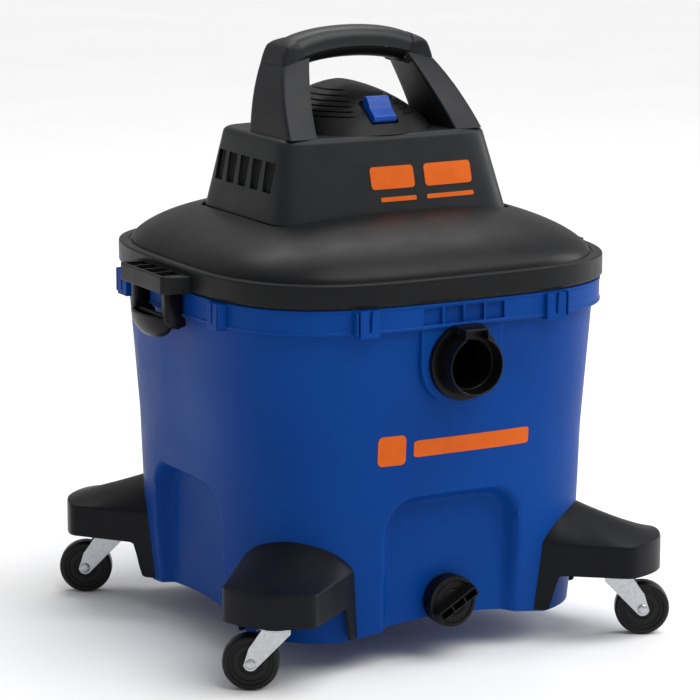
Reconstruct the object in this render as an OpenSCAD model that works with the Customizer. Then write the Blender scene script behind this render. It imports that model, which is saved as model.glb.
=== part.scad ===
// Wet and dry shop vacuum: open tank on four caster feet, lift-off lid with the motor head on top.
// Origin on the floor under the centre of the tank. Front (hose inlet) faces -Y, +Z is up.

/* [Tank] */
// Height of the open top of the tank above the floor
tank_top_z = 418; // [400:1:430]
// Height of the lower edge of the tank at its corners
tank_base_z = 34; // [30:1:38]
// Half width of the tank at its base
tank_base_half = 218; // [214:1:222]
// Half width of the tank at the height of the feet
tank_low_half = 225; // [223:1:228]
// Half width of the tank at mid height
tank_mid_half = 229; // [228:1:233]
// Half width of the tank just under its rim band
tank_high_half = 239; // [236:1:240]
// Roundness exponent of the plan outline: 2 is round, larger is squarer
tank_square = 3.5; // [3:0.1:4.5]
// Thickness of the tank wall
tank_wall = 3; // [2.5:0.5:4]
// Top of the inside floor of the tank
tank_floor_z = 57; // [54:1:60]
// Half width of the rim band round the top of the tank
band_half = 247; // [245:0.5:248]
// Height of the rim band
band_h = 28; // [24:1:30]
// Half width of the arched recess in each side of the tank
recess_half_w = 88; // [70:1:92]
// Top of the recesses above the floor
recess_top_z = 198; // [170:1:210]
// Distance of the recess faces from the centre
recess_face_y = 205; // [200:1:212]

/* [Inlet and drain] */
// Height of the hose inlet above the floor
inlet_z = 349; // [335:1:352]
// Radius of the bore that takes the hose cuff
inlet_bore_r = 31.5; // [28:0.25:32]
// Radius of the outside of the inlet tube
inlet_tube_r = 33.5; // [33:0.25:35]
// Radius of the flange of the inlet
inlet_flange_r = 43; // [41:0.5:46]
// Distance of the mouth of the inlet in front of the centre
inlet_mouth_y = 275; // [265:1:283]
// Distance of the face of the inlet boss in front of the centre
boss_face_y = 243; // [241:0.5:245]
// Half width of the boss that carries the inlet
boss_half_w = 52; // [48:1:56]
// Height of the drain above the floor
drain_z = 69; // [69:1:90]
// Radius of the drain cap
drain_cap_r = 30; // [27:0.5:31]
// Radius of the opening of the drain
drain_bore_r = 12; // [9:0.5:12]

/* [Feet and casters] */
// Distance of each caster's swivel axis from the centre, along the diagonal
swivel_r = 316; // [312:1:320]
// Trail of the wheel axle behind the swivel axis
caster_trail = 28; // [24:1:30]
// Radius of the caster wheels
wheel_r = 31.75; // [30:0.25:32]
// Width of the caster wheels
wheel_w = 21; // [16:1:22]
// Height of the underside of the feet above the floor
foot_under_z = 81; // [79:1:84]
// Height of the side walls' top edge above the floor
foot_side_z = 117.5; // [114:0.5:122]
// Height of the ridge of each foot where it meets the tank
foot_ridge_z = 157; // [145:1:162]
// Distance of the front corners of each foot from the centre, along the diagonal
foot_corner_u = 344; // [340:1:346]
// How far the rounded tip stands past its corners
foot_tip_bulge = 20; // [14:1:22]
// Half width of the foot at its tip
foot_tip_half = 54; // [50:1:55]
// Half width of the foot where it meets the tank
foot_root_half = 69; // [62:1:72]
// Wall thickness of the feet
foot_wall = 3.5; // [3:0.5:5]

/* [Lid] */
// Height of the lid's lower edge above the floor
lid_z = 421; // [420:0.5:424]
// Height of the flat ledge round the lid
ledge_z = 446; // [442:0.5:448]
// Half width of the lid's rim
lid_half = 249; // [248:0.5:251]
// Half width of the foot of the dome
dome_half = 236; // [230:1:238]
// Height that the dome would rise to above the ledge
dome_rise = 58; // [54:1:60]
// Thickness of the lid
lid_wall = 3.5; // [3:0.5:4]
// Half length of the carrying ledge over each latch
grip_ledge_half = 58; // [52:1:62]
// Distance of the outer face of each carrying ledge from the centre
grip_ledge_x = 279; // [276:0.5:282]

/* [Motor head] */
// Height of the lower edge of the motor housing above the floor
housing_z = 489; // [488:0.5:491]
// Height of the flat top of the motor housing above the floor
housing_top_z = 582; // [575:1:588]
// Half width of the motor housing at its lower edge
housing_half_x = 153; // [150:1:155]
// Half depth of the motor housing at its lower edge
housing_half_y = 113; // [110:1:115]
// Half width of the motor housing at its top
housing_top_half_x = 134; // [130:1:136]
// Half depth of the motor housing at its top
housing_top_half_y = 92; // [90:1:96]
// Height of the crown of the motor cover above the floor
cover_top_z = 637; // [628:1:640]
// Width of the blue rocker of the switch
rocker_w = 34; // [28:1:36]

/* [Handle] */
// Height of the top of the grip above the floor
grip_top_z = 699; // [696:1:704]
// Height of the seam between the posts and the grip
seam_z = 662; // [658:1:664]
// Half distance between the posts at the seam
grip_half_span = 85; // [80:1:88]
// Half distance between the feet of the posts
post_half_span = 107.5; // [104:0.5:109]

/* [Filter and motor] */
// Radius of the pleated cartridge
filter_r = 84; // [76:1:88]
// Height of the lower end of the cartridge above the floor
filter_low_z = 284; // [270:1:292]
// Radius of the float ball
float_r = 24; // [22:0.5:26]
// Radius of the impeller
impeller_r = 72; // [60:1:74]
// Radius of the motor shaft
shaft_r = 4; // [3:0.25:5]

/* [Hidden] */

$fn = 48;
ring_points = 48;
far = 400;
blue = "#1648b0";
black = "#1b1c1e";
charcoal = "#2a2c30";
steel = "#c4c8cc";

// Feet: [name, sign of x, sign of y, direction in which the caster trails]
trail_left = 151.5;
trail_right = -28.5;
CORNERS = [
    ["front_left", -1, -1, trail_left],
    ["front_right", 1, -1, trail_right],
    ["back_left", -1, 1, trail_left],
    ["back_right", 1, 1, trail_right]];

running_gap = 0.05;
fit_gap = 0.3;
screw_r = 2;

band_z = tank_top_z - band_h;
seal_h = lid_z - tank_top_z;
seat_z = housing_z - 4;
well_r = 92;
well_wall = 3.5;
well_floor_z = 440;
well_floor_h = 4;
tank_profile = [
    [tank_base_z, tank_base_half],
    [114, tank_low_half],
    [243, tank_mid_half],
    [band_z, tank_high_half],
    [tank_top_z, tank_high_half + 1]];

// ---------------------------------------------------------------- shapes

// Power of a number that keeps its sign
function bend(v, power) = sign(v) * pow(abs(v), power);

// One closed ring of points: a rounded square with half sizes hx and hy
function ring(hx, hy, square, z, cx = 0, cy = 0) = [
    for (i = [0 : ring_points - 1])
        let (t = 360 * i / ring_points)
            [cx + hx * bend(cos(t), 2 / square), cy + hy * bend(sin(t), 2 / square), z]];

// Closed solid through a list of rings that all have the same number of points
module skin(rings) {
    n = len(rings[0]);
    m = len(rings);
    sides = [
        for (j = [0 : m - 2]) for (i = [0 : n - 1]) for (half = [0, 1])
            let (a = j * n + i, b = j * n + (i + 1) % n)
                half == 0 ? [a, a + n, b] : [b, a + n, b + n]];
    low = [for (i = [0 : n - 1]) i];
    high = [for (i = [n - 1 : -1 : 0]) (m - 1) * n + i];
    polyhedron([for (each_ring = rings) each each_ring], concat([low], sides, [high]));
}

// Ring of points with an inner and an outer outline, as a closed band
module band(outer, inner, square, z0, z1) {
    difference() {
        skin([ring(outer, outer, square, z0), ring(outer, outer, square, z1)]);
        skin([ring(inner, inner, square, z0 - 1), ring(inner, inner, square, z1 + 1)]);
    }
}

module tube(r_out, r_in, h) {
    difference() {
        cylinder(r = r_out, h = h);
        translate([0, 0, -1])
            cylinder(r = r_in, h = h + 2);
    }
}

// Puts a shape drawn along +Z onto an axis that points forward, at height z and distance y
module facing_front(y, z, x = 0) {
    translate([x, -y, z])
        rotate([90, 0, 0])
            children();
}

module facing_back(y, z, x = 0) {
    translate([x, y, z])
        rotate([-90, 0, 0])
            children();
}

// Row of copies round the vertical axis
module around(count, start = 0) {
    for (i = [0 : count - 1])
        rotate([0, 0, start + 360 * i / count])
            children();
}

// ---------------------------------------------------------------- tank

function tank_half(z) = lookup(z, tank_profile);

module tank_block(shrink, z0, z1) {
    levels = concat([z0], [for (p = tank_profile) if (p[0] > z0 + 1 && p[0] < z1 - 1) p[0]], [z1]);
    skin([for (z = levels) ring(tank_half(z) - shrink, tank_half(z) - shrink, tank_square, z)]);
}

recess_corner_r = 42;
recess_low_z = 20;
recess_reach = 100;

// The hollow in each side of the tank, with grow added on its sides and depth
module recess_block(grow) {
    w = recess_half_w + grow;
    r = recess_corner_r + grow;
    top = recess_top_z + grow;
    around(4)
        facing_front(recess_face_y - grow, 0)
            linear_extrude(height = recess_reach) {
                translate([-w, recess_low_z])
                    square([2 * w, top - r - recess_low_z]);
                translate([-w + r, recess_low_z])
                    square([2 * (w - r), top - recess_low_z]);
                for (side = [-1, 1])
                    translate([side * (w - r), top - r])
                        circle(r = r);
            }
}

boss_low_z = 298;

// Flat faced panel that carries the inlet, round at its lower end
module inlet_boss() {
    facing_front(tank_mid_half - 10, 0)
        linear_extrude(height = boss_face_y - tank_mid_half + 10) {
            translate([0, boss_low_z + boss_half_w])
                circle(r = boss_half_w);
            translate([-boss_half_w, boss_low_z + boss_half_w])
                square([2 * boss_half_w, band_z + 4 - boss_low_z - boss_half_w]);
        }
}

arch_r = 610;
arch_top_z = 49;
band_wall = 3;
catch_half_w = 25;
catch_x = 257;
catch_h = 26;
spout_r = 18;
spout_len = 16;
floor_h = 4;

module tank() {
    color(blue)
        difference() {
            union() {
                tank_block(0, tank_base_z, tank_top_z);
                tank_rim();
                inlet_boss();
                catches();
            }
            tank_cavity();
            // hollow skirt under the floor, with an arch along each side
            difference() {
                tank_block(tank_wall + 1, tank_base_z - 2, tank_floor_z - floor_h);
                recess_block(tank_wall);
            }
            tank_arches();
            recess_block(0);
            facing_front(0, inlet_z)
                cylinder(r = inlet_tube_r + 0.5, h = far);
            facing_front(0, drain_z)
                cylinder(r = drain_bore_r, h = far);
        }
    color(blue)
        facing_front(recess_face_y - tank_wall, drain_z)
            tube(spout_r, drain_bore_r, spout_len + tank_wall);
}

// Space inside the tank, less the walls of the recess and the boss
module tank_cavity() {
    difference() {
        tank_block(tank_wall, tank_floor_z, tank_top_z + 2);
        recess_block(tank_wall);
    }
}

module tank_rim() {
    band(band_half, tank_high_half - tank_wall, tank_square, tank_top_z - band_wall, tank_top_z);
    band(band_half, band_half - band_wall, tank_square, band_z, tank_top_z);
    band(band_half, tank_high_half - 1, tank_square, band_z, band_z + band_wall);
}

module catches() {
    for (side = [-1, 1])
        translate([side * (catch_x + band_half - 6) / 2, 0, tank_top_z - catch_h / 2])
            cube([catch_x - band_half + 6, 2 * catch_half_w, catch_h], center = true);
}

module tank_arches() {
    for (turn = [0, 90])
        rotate([0, 0, turn])
            translate([0, far, arch_top_z - arch_r])
                rotate([90, 0, 0])
                    cylinder(r = arch_r, h = 2 * far, $fn = 180);
}

flange_h = 7;
inlet_inner_y = 222;
lug_w = 30;
lug_rise = 8;
step_r = 27.5;
step_y = 258;

module inlet_port() {
    color(black)
        difference() {
            union() {
                facing_front(boss_face_y, inlet_z)
                    cylinder(r = inlet_flange_r, h = flange_h);
                facing_front(inlet_inner_y, inlet_z)
                    cylinder(r = inlet_tube_r, h = inlet_mouth_y - inlet_inner_y);
                translate([-lug_w / 2, -inlet_mouth_y, inlet_z])
                    cube([lug_w, inlet_mouth_y - boss_face_y - 1, inlet_tube_r + lug_rise]);
            }
            facing_front(step_y + 2, inlet_z)
                cylinder(r = inlet_bore_r, h = far);
            facing_front(inlet_inner_y - 1, inlet_z)
                cylinder(r = step_r, h = far);
            // flat top of the flange, under the tank's rim band
            translate([-far / 2, -band_half - fit_gap, band_z - fit_gap])
                cube([far, far, far]);
        }
}

gasket_h = 1.5;

module inlet_gasket() {
    color("dimgray")
        facing_front(inlet_inner_y + 1, inlet_z)
            tube(inlet_flange_r - 2, inlet_tube_r + 0.2, gasket_h);
}

deflector_len = 46;
deflector_wall = 2;
window_x = 6;
window_y = 8;

// Hood inside the tank that turns the incoming air down one side
module inlet_deflector() {
    color(black)
        difference() {
            facing_front(inlet_inner_y - deflector_len, inlet_z)
                cylinder(r = inlet_tube_r + deflector_wall, h = deflector_len);
            facing_front(inlet_inner_y - deflector_len + deflector_wall, inlet_z)
                cylinder(r = inlet_tube_r, h = deflector_len);
            translate([window_x, -inlet_inner_y + window_y, inlet_z - inlet_flange_r])
                cube([far, deflector_len - window_y - 2 * deflector_wall, 2 * inlet_flange_r]);
        }
}

cap_len = 20;
cap_lip = 1.5;
bar_len = 58;
bar_w = 13;
bar_rise = 13;
bar_tilt = 30;
cap_face_y = recess_face_y + cap_lip + cap_len;
seal_ring_h = 2;

module drain_cap() {
    color(black) {
        facing_front(recess_face_y + cap_lip, drain_z)
            difference() {
                cylinder(r = drain_cap_r, h = cap_len);
                translate([0, 0, -1])
                    cylinder(r = spout_r + fit_gap, h = cap_len - 2);
            }
        facing_front(cap_face_y - 1, drain_z)
            rotate([0, 0, bar_tilt])
                difference() {
                    translate([-bar_len / 2, -bar_w / 2, 0])
                        cube([bar_len, bar_w, bar_rise + 1]);
                    for (i = [-1 : 1])
                        translate([i * bar_len / 3 - bar_len / 8, -bar_w / 2 - 1, 3])
                            cube([bar_len / 4, bar_w - 1, bar_rise - 4]);
                }
    }
}

module drain_gasket() {
    color("dimgray")
        facing_front(recess_face_y + spout_len + fit_gap, drain_z)
            tube(spout_r - 0.5, drain_bore_r, seal_ring_h - fit_gap);
}

// ---------------------------------------------------------------- feet and casters

root_u = 222;
leg_low_z = 40;
leg_low_u = 247;
leg_high_u = 262;
leg_overlap = 12;
arch_steps = 8;
socket_r = 13;
stem_r = 5;
stem_top_z = 112;
root_ridge_u = 253;

function foot_half(u) = foot_root_half
    + (foot_tip_half - foot_root_half) * (u - root_u) / (foot_corner_u - root_u);
tip_arc_r = (pow(foot_tip_half, 2) + pow(foot_tip_bulge, 2)) / (2 * foot_tip_bulge);
function tip_half(u) = sqrt(max(pow(tip_arc_r, 2) - pow(u - foot_corner_u + tip_arc_r - foot_tip_bulge, 2), 1));
function foot_w(u) = u <= foot_corner_u ? foot_half(u) : tip_half(u);
tip_u = foot_corner_u + foot_tip_bulge;
shoulder = 0.62;
function foot_ridge(u) = u <= root_ridge_u ? foot_ridge_z
    : foot_side_z + (foot_ridge_z - foot_side_z)
        * pow(max(1 - (u - root_ridge_u) / (tip_u - root_ridge_u), 0), shoulder);

// Section of a foot at distance u along its diagonal, shrunk by the wall for the inner space
function foot_section(u, shrink, low) =
    let (w = foot_w(u) - shrink,
        side = foot_side_z - shrink,
        rise = foot_ridge(u) - foot_side_z)
        concat(
            [[u, -w - 1, low], [u, w + 1, low]],
            [for (i = [0 : arch_steps])
                let (t = 180 * i / arch_steps)
                    [u, w * cos(t), side + rise * sin(t)]]);

foot_stations = [root_u, 240, root_ridge_u, 275, 300, 322, foot_corner_u];
tip_stations = [for (t = [0.45, 0.75, 0.93, 0.995]) foot_corner_u + foot_tip_bulge * t];

// A foot drawn along +X, before it is turned onto its diagonal
module foot() {
    stations = concat(foot_stations, tip_stations);
    difference() {
        union() {
            skin([for (u = stations) foot_section(u, 0, foot_under_z)]);
            foot_leg(0);
        }
        difference() {
            union() {
                skin([for (u = foot_stations) foot_section(u - foot_wall, foot_wall, foot_under_z - 1)]);
                foot_leg(foot_wall);
            }
            translate([swivel_r, 0, foot_under_z - 2])
                cylinder(r = socket_r, h = far);
        }
        translate([swivel_r, 0, foot_under_z - 5])
            cylinder(r = stem_r + running_gap, h = stem_top_z - foot_under_z + 5);
    }
}

module foot_leg(shrink) {
    w = foot_root_half - shrink;
    translate([0, w, 0])
        rotate([90, 0, 0])
            linear_extrude(height = 2 * w)
                polygon([
                    [root_u - 3 - shrink, leg_low_z - 2 * sign(shrink)],
                    [leg_low_u - shrink, leg_low_z - 2 * sign(shrink)],
                    [leg_high_u - shrink, foot_under_z + leg_overlap],
                    [root_u - 3 - shrink, foot_under_z + leg_overlap]]);
}

function corner_turn(c) = atan2(c[2], c[1]);

module foot_at(c) {
    color(black)
        difference() {
            rotate([0, 0, corner_turn(c)])
                foot();
            tank_block(-fit_gap, tank_base_z - 10, 250);
        }
}

function swivel_xy(c) = [c[1] * swivel_r / sqrt(2), c[2] * swivel_r / sqrt(2), 0];

fork_plate_z = 70;
fork_plate_h = 2.5;
fork_plate_r = 21;
fork_sheet = 2;
fork_gap = 1.2;
axle_r = 3.5;
axle_head_r = 6;
axle_head_h = 1.8;
fork_eye_r = 8;
fork_back_x = -16;
fork_back_h = 6;
stem_head_r = 8.5;
stem_head_h = 3;
collar_r = 11.5;

// Puts a caster piece, drawn with its trail along +X, at a corner
module caster_at(c) {
    translate(swivel_xy(c))
        rotate([0, 0, c[3]])
            children();
}

module stem(c) {
    collar_z = fork_plate_z + fork_plate_h + running_gap;
    color(steel)
        caster_at(c) {
            translate([0, 0, fork_plate_z - stem_head_h])
                cylinder(r = stem_head_r, h = stem_head_h - running_gap);
            translate([0, 0, fork_plate_z - stem_head_h])
                cylinder(r = stem_r, h = stem_top_z - 1 - fork_plate_z + stem_head_h);
            translate([0, 0, collar_z])
                cylinder(r = collar_r, h = foot_under_z - 2 - collar_z);
        }
}

module fork(c) {
    side_y = wheel_w / 2 + fork_gap;
    color(steel)
        caster_at(c)
            difference() {
                union() {
                    translate([0, 0, fork_plate_z])
                        cylinder(r = fork_plate_r, h = fork_plate_h);
                    for (side = [-1, 1])
                        translate([0, side > 0 ? side_y + fork_sheet : -side_y, 0])
                            rotate([90, 0, 0])
                                linear_extrude(height = fork_sheet)
                                    fork_side();
                }
                translate([0, 0, fork_plate_z - 1])
                    cylinder(r = stem_r + running_gap, h = fork_plate_h + 2);
                translate([caster_trail, far / 2, wheel_r])
                    rotate([90, 0, 0])
                        cylinder(r = axle_r, h = far);
            }
}

// Tapered side plate: wide under the top plate, round at the axle
module fork_side() {
    plate_z = fork_plate_z + fork_plate_h;
    front_turn = 8;
    back_turn = 50;
    translate([caster_trail, wheel_r])
        circle(r = fork_eye_r);
    polygon([
        [fork_back_x, plate_z],
        [fork_plate_r - 1, plate_z],
        [caster_trail + fork_eye_r * cos(front_turn), wheel_r + fork_eye_r * sin(front_turn)],
        [caster_trail - fork_eye_r * cos(back_turn), wheel_r - fork_eye_r * sin(back_turn)],
        [fork_back_x, plate_z - fork_back_h]]);
}

module axle(c) {
    half = wheel_w / 2 + fork_gap + fork_sheet;
    color(steel)
        caster_at(c)
            translate([caster_trail, half + axle_head_h, wheel_r])
                rotate([90, 0, 0]) {
                    cylinder(r = axle_r, h = 2 * (half + axle_head_h));
                    cylinder(r = axle_head_r, h = axle_head_h);
                    translate([0, 0, 2 * half + axle_head_h])
                        cylinder(r = axle_head_r, h = axle_head_h);
                }
}

groove_depth = 3;
groove_slope = 2;
hub_r = 9;
web_r = 22;
tread_edge = 2;
tread_round = 3;

module wheel(c) {
    hw = wheel_w / 2;
    bore = axle_r + running_gap;
    dip = hw - groove_depth;
    color(black)
        caster_at(c)
            translate([caster_trail, 0, wheel_r])
                rotate([90, 0, 0])
                    rotate_extrude($fn = 64)
                        polygon([
                            [bore, -hw],
                            [hub_r, -hw],
                            [hub_r + groove_slope, -dip],
                            [web_r - groove_slope, -dip],
                            [web_r, -hw],
                            [wheel_r - tread_edge, -hw],
                            [wheel_r, -hw + tread_round],
                            [wheel_r, hw - tread_round],
                            [wheel_r - tread_edge, hw],
                            [web_r, hw],
                            [web_r - groove_slope, dip],
                            [hub_r + groove_slope, dip],
                            [hub_r, hw],
                            [bore, hw]]);
}

// ---------------------------------------------------------------- lid

dome_p = 2.7;
dome_q = 1.5;
function dome_z(s) = ledge_z + dome_rise * pow(1 - pow(s, dome_p), 1 / dome_q);
dome_steps = [1, 0.985, 0.95, 0.9, 0.82, 0.72, 0.6, 0.45, 0.3];

module lid_block(shrink, base_z) {
    rim = lid_half - shrink - (shrink > 0 ? 1 : 0);
    top = ledge_z - shrink;
    dome = dome_half - shrink;
    skin(concat(
        [ring(rim, rim, tank_square, base_z), ring(rim, rim, tank_square, top - 3)],
        [ring(rim - 2.5, rim - 2.5, tank_square, top - 0.5)],
        [for (s = dome_steps)
            let (a = dome * s) ring(a, a, tank_square, dome_z(s) - shrink)]));
}

ledge_top_z = 438;
ledge_low_z = 418;
ledge_wall = 3;
pocket_depth = 5;
latch_pin_r = 2.5;
latch_pin_x = 264;
latch_pin_z = 425;

// Ledge to lift the lid by, open below, with four pockets in its top
module grip_ledge() {
    inner = lid_half - 6;
    difference() {
        translate([inner, -grip_ledge_half, ledge_low_z])
            cube([grip_ledge_x - inner, 2 * grip_ledge_half, ledge_top_z - ledge_low_z]);
        translate([lid_half + 1, -grip_ledge_half + 8, ledge_low_z - 1])
            cube([grip_ledge_x - lid_half - ledge_wall - 1, 2 * grip_ledge_half - 16, 14]);
        for (i = [-2 : 1])
            translate([lid_half + 3, (i + 0.5) * 27 - 11.5, ledge_top_z - pocket_depth])
                cube([21, 23, pocket_depth + 1]);
        translate([latch_pin_x, far / 2, latch_pin_z])
            rotate([90, 0, 0])
                cylinder(r = latch_pin_r, h = far);
        for (side = [-1, 1])
            translate([grip_ledge_x, side * grip_ledge_half, 0])
                rotate([0, 0, 45])
                    cube([12, 12, 3 * far], center = true);
        // keep the ledge off the tank's rim band
        tank_clearance();
    }
}

module tank_clearance() {
    skin([
        ring(band_half + 1, band_half + 1, tank_square, ledge_low_z - 2),
        ring(band_half + 1, band_half + 1, tank_square, lid_z)]);
}

module housing_footprint(grow, z0, z1) {
    hx = housing_half_x + grow;
    hy = housing_half_y + grow;
    skin([ring(hx, hy, housing_square, z0, 0, housing_cy), ring(hx, hy, housing_square, z1, 0, housing_cy)]);
}

plug_half = 231;
plug_wall = 3;
plug_low_z = 405;
well_hole_r = 36;

module lid() {
    color(charcoal)
        difference() {
            union() {
                difference() {
                    lid_block(0, lid_z);
                    difference() {
                        lid_block(lid_wall, lid_z - 1);
                        housing_footprint(6, seat_z - lid_wall, 2 * far);
                        translate([0, 0, well_floor_z])
                            cylinder(r = well_r + well_wall, h = 2 * far);
                        band(plug_half, plug_half - plug_wall, tank_square, lid_z - 5, ledge_z);
                        band(lid_half, plug_half - plug_wall, tank_square, lid_z - 2, lid_z + 2);
                    }
                    housing_footprint(2.5, seat_z, 2 * far);
                }
                translate([0, 0, well_floor_z])
                    cylinder(r = well_r + well_wall, h = 20);
                band(plug_half, plug_half - plug_wall, tank_square, plug_low_z, lid_z + 2);
                grip_ledge();
                mirror([1, 0, 0])
                    grip_ledge();
            }
            translate([0, 0, well_floor_z + well_floor_h])
                cylinder(r = well_r, h = far);
            translate([0, 0, well_floor_z - 1])
                cylinder(r = well_hole_r, h = far);
            at_cage_screws()
                cylinder(r = screw_r + running_gap, h = screw_len);
        }
}

module lid_seal() {
    color("dimgray")
        band(plug_half + 13, plug_half + 6, tank_square, tank_top_z + 0.2, tank_top_z + seal_h);
}

arm_in = 27;
arm_out = 44;
arm_t = 5;
knuckle_r = 5.5;
scoop_z = 386;
scoop_low_z = 360;
hook_gap = 0.6;

// A latch drawn for the right side: two arms on a knuckle, a pull scoop between their lower ends
module latch() {
    color(black)
        difference() {
            union() {
                translate([latch_pin_x, arm_out, latch_pin_z])
                    rotate([90, 0, 0])
                        cylinder(r = knuckle_r, h = 2 * arm_out);
                for (side = [-1, 1])
                    translate([latch_pin_x - arm_t / 2, side > 0 ? arm_in : -arm_out, scoop_z])
                        cube([arm_t, arm_out - arm_in, latch_pin_z - scoop_z]);
                latch_scoop();
            }
            translate([latch_pin_x, far / 2, latch_pin_z])
                rotate([90, 0, 0])
                    cylinder(r = latch_pin_r + running_gap, h = far);
        }
}

scoop_out = 14;
scoop_t = 3;

// Curved finger pull: a plate that leans out from the foot of the arms, with a round lower edge
module latch_scoop() {
    back_x = catch_x + hook_gap;
    intersection() {
        translate([0, arm_out, 0])
            rotate([90, 0, 0])
                linear_extrude(height = 2 * arm_out)
                    polygon([
                        [back_x, scoop_z + 5],
                        [latch_pin_x + arm_t / 2, scoop_z + 5],
                        [latch_pin_x + scoop_out, scoop_z - 8],
                        [latch_pin_x + scoop_out, scoop_z - 12],
                        [back_x + scoop_t, scoop_low_z],
                        [back_x, scoop_low_z]]);
        translate([back_x - 1, 0, scoop_low_z + 70])
            rotate([0, 90, 0])
                cylinder(r = 70, h = 40);
    }
}

module latch_pins() {
    color(steel)
        for (side = [-1, 1])
            translate([side * latch_pin_x, grip_ledge_half - 2, latch_pin_z])
                rotate([90, 0, 0])
                    cylinder(r = latch_pin_r, h = 2 * grip_ledge_half - 4);
}

// ---------------------------------------------------------------- filter and float

cage_r = 56;
cage_flange_r = 70;
cage_flange_h = 4;
cage_low_z = 294;
cage_hoop_w = 5;
cage_hoop_h = 4;
cage_ribs = 6;
cage_seat_r = 20;
cage_top_z = well_floor_z;
cage_screw_r = 44;
screw_len = 6;
screw_head_r = 4;
screw_head_h = 2.5;

module filter_cage() {
    hoops = 3;
    color(black) {
        difference() {
            translate([0, 0, cage_top_z - cage_flange_h])
                tube(cage_flange_r, cage_seat_r, cage_flange_h);
            at_cage_screws()
                cylinder(r = screw_r + running_gap, h = screw_len);
        }
        for (i = [1 : hoops])
            translate([0, 0, cage_low_z + i * (cage_top_z - cage_low_z) / (hoops + 1)])
                tube(cage_r, cage_r - cage_hoop_w, cage_hoop_h);
        translate([0, 0, cage_low_z])
            cylinder(r = cage_r, h = cage_hoop_h);
        around(cage_ribs)
            translate([cage_r - cage_hoop_w, -2, cage_low_z])
                cube([cage_hoop_w - 1, 4, cage_top_z - cage_low_z - 1]);
    }
}

// Places of the screws that hold the cage under the lid, at the underside of its flange
module at_cage_screws() {
    around(3, 30)
        translate([cage_screw_r, 0, cage_top_z - cage_flange_h])
            children();
}

module cage_screws() {
    color(steel)
        at_cage_screws() {
            translate([0, 0, -screw_head_h])
                cylinder(r = screw_head_r, h = screw_head_h);
            translate([0, 0, -screw_head_h])
                cylinder(r = screw_r, h = screw_len + screw_head_h - fit_gap);
        }
}

module float_ball() {
    color("white")
        translate([0, 0, cage_low_z + cage_hoop_h + float_r + fit_gap])
            sphere(r = float_r);
}

filter_top_z = cage_top_z - cage_flange_h - 1;
pleats = 36;
pleat_depth = 13;
end_cap_h = 6;

module filter_media() {
    n = 2 * pleats;
    color("linen")
        translate([0, 0, filter_low_z + end_cap_h])
            linear_extrude(height = filter_top_z - filter_low_z - 2 * end_cap_h)
                difference() {
                    polygon([for (i = [0 : n - 1])
                        let (r = filter_r - 2 - (i % 2) * pleat_depth, t = 360 * i / n)
                            [r * cos(t), r * sin(t)]]);
                    circle(r = filter_r - pleat_depth - 5);
                }
}

module filter_caps() {
    color(black) {
        translate([0, 0, filter_low_z])
            cylinder(r = filter_r, h = end_cap_h);
        translate([0, 0, filter_top_z - end_cap_h])
            tube(filter_r, cage_r + 1, end_cap_h);
    }
}

// ---------------------------------------------------------------- motor head

housing_cy = 7;
housing_top_cy = 12;
housing_square = 8;
housing_wall = 3;
cover_half_x = 88;
cover_half_y = 90;
cover_cy = 12;
cover_lean = 28;
opening_r = 80;
vent_count = 5;
vent_pitch = 27;
vent_w = 14;
vent_h = 34;
vent_z = 518;
vent_first_y = -40;

module housing_block(shrink, z0, z1) {
    f = function (z) (z - housing_z) / (housing_top_z - housing_z);
    hx = function (z) housing_half_x + (housing_top_half_x - housing_half_x) * f(z) - shrink;
    hy = function (z) housing_half_y + (housing_top_half_y - housing_half_y) * f(z) - shrink;
    cy = function (z) housing_cy + (housing_top_cy - housing_cy) * f(z);
    edge = 4;
    skin([
        ring(hx(z0), hy(z0), housing_square, z0, 0, cy(z0)),
        ring(hx(z1 - edge), hy(z1 - edge), housing_square, z1 - edge, 0, cy(z1 - edge)),
        ring(hx(z1) - edge, hy(z1) - edge, housing_square, z1, 0, cy(z1))]);
}

foot_ring_in = 2;
foot_ring_w = 4;
exhaust_z = 536;
exhaust_r = 31.5;
exhaust_wall = 2.5;
exhaust_y = 146;
exhaust_pad_r = 43;
exhaust_pad_y = 121;
exhaust_in_y = 96;
pad_in_y = 90;
pad_depth = 19;
exhaust_flange_h = 3;
exhaust_flange_w = 2.5;
gland_x = -80;
gland_z = 512;
gland_r = 9;
gland_bore_r = 4;
gland_y = 100;
gland_len = 28;
gland_flange_y = 118.4;

module motor_housing() {
    color(charcoal)
        difference() {
            union() {
                housing_block(0, housing_z, housing_top_z);
                facing_back(pad_in_y, exhaust_z)
                    cylinder(r = exhaust_pad_r, h = exhaust_pad_y - pad_in_y);
                housing_footprint(-foot_ring_in, seat_z, housing_z + 4);
            }
            housing_footprint(-foot_ring_in - foot_ring_w, seat_z - 1, housing_z + 6);
            difference() {
                housing_block(housing_wall, housing_z - 1, housing_top_z - housing_wall);
                facing_back(exhaust_pad_y - pad_depth, exhaust_z)
                    cylinder(r = exhaust_pad_r, h = pad_depth);
            }
            translate([0, cover_cy, housing_top_z - 10])
                cylinder(r = opening_r, h = 20);
            for (side = [-1, 1])
                for (i = [0 : vent_count - 1])
                    translate([side * housing_top_half_x, vent_first_y + i * vent_pitch, vent_z + vent_h / 2])
                        cube([60, vent_w, vent_h], center = true);
            facing_back(pad_in_y - 10, exhaust_z)
                cylinder(r = exhaust_r + exhaust_wall, h = far);
            facing_back(pad_in_y - 10, gland_z, gland_x)
                cylinder(r = gland_r, h = far);
        }
}

cover_levels = [0, 0.2, 0.4, 0.58, 0.74, 0.87, 0.96, 0.995];
cover_wall = 3;

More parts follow.
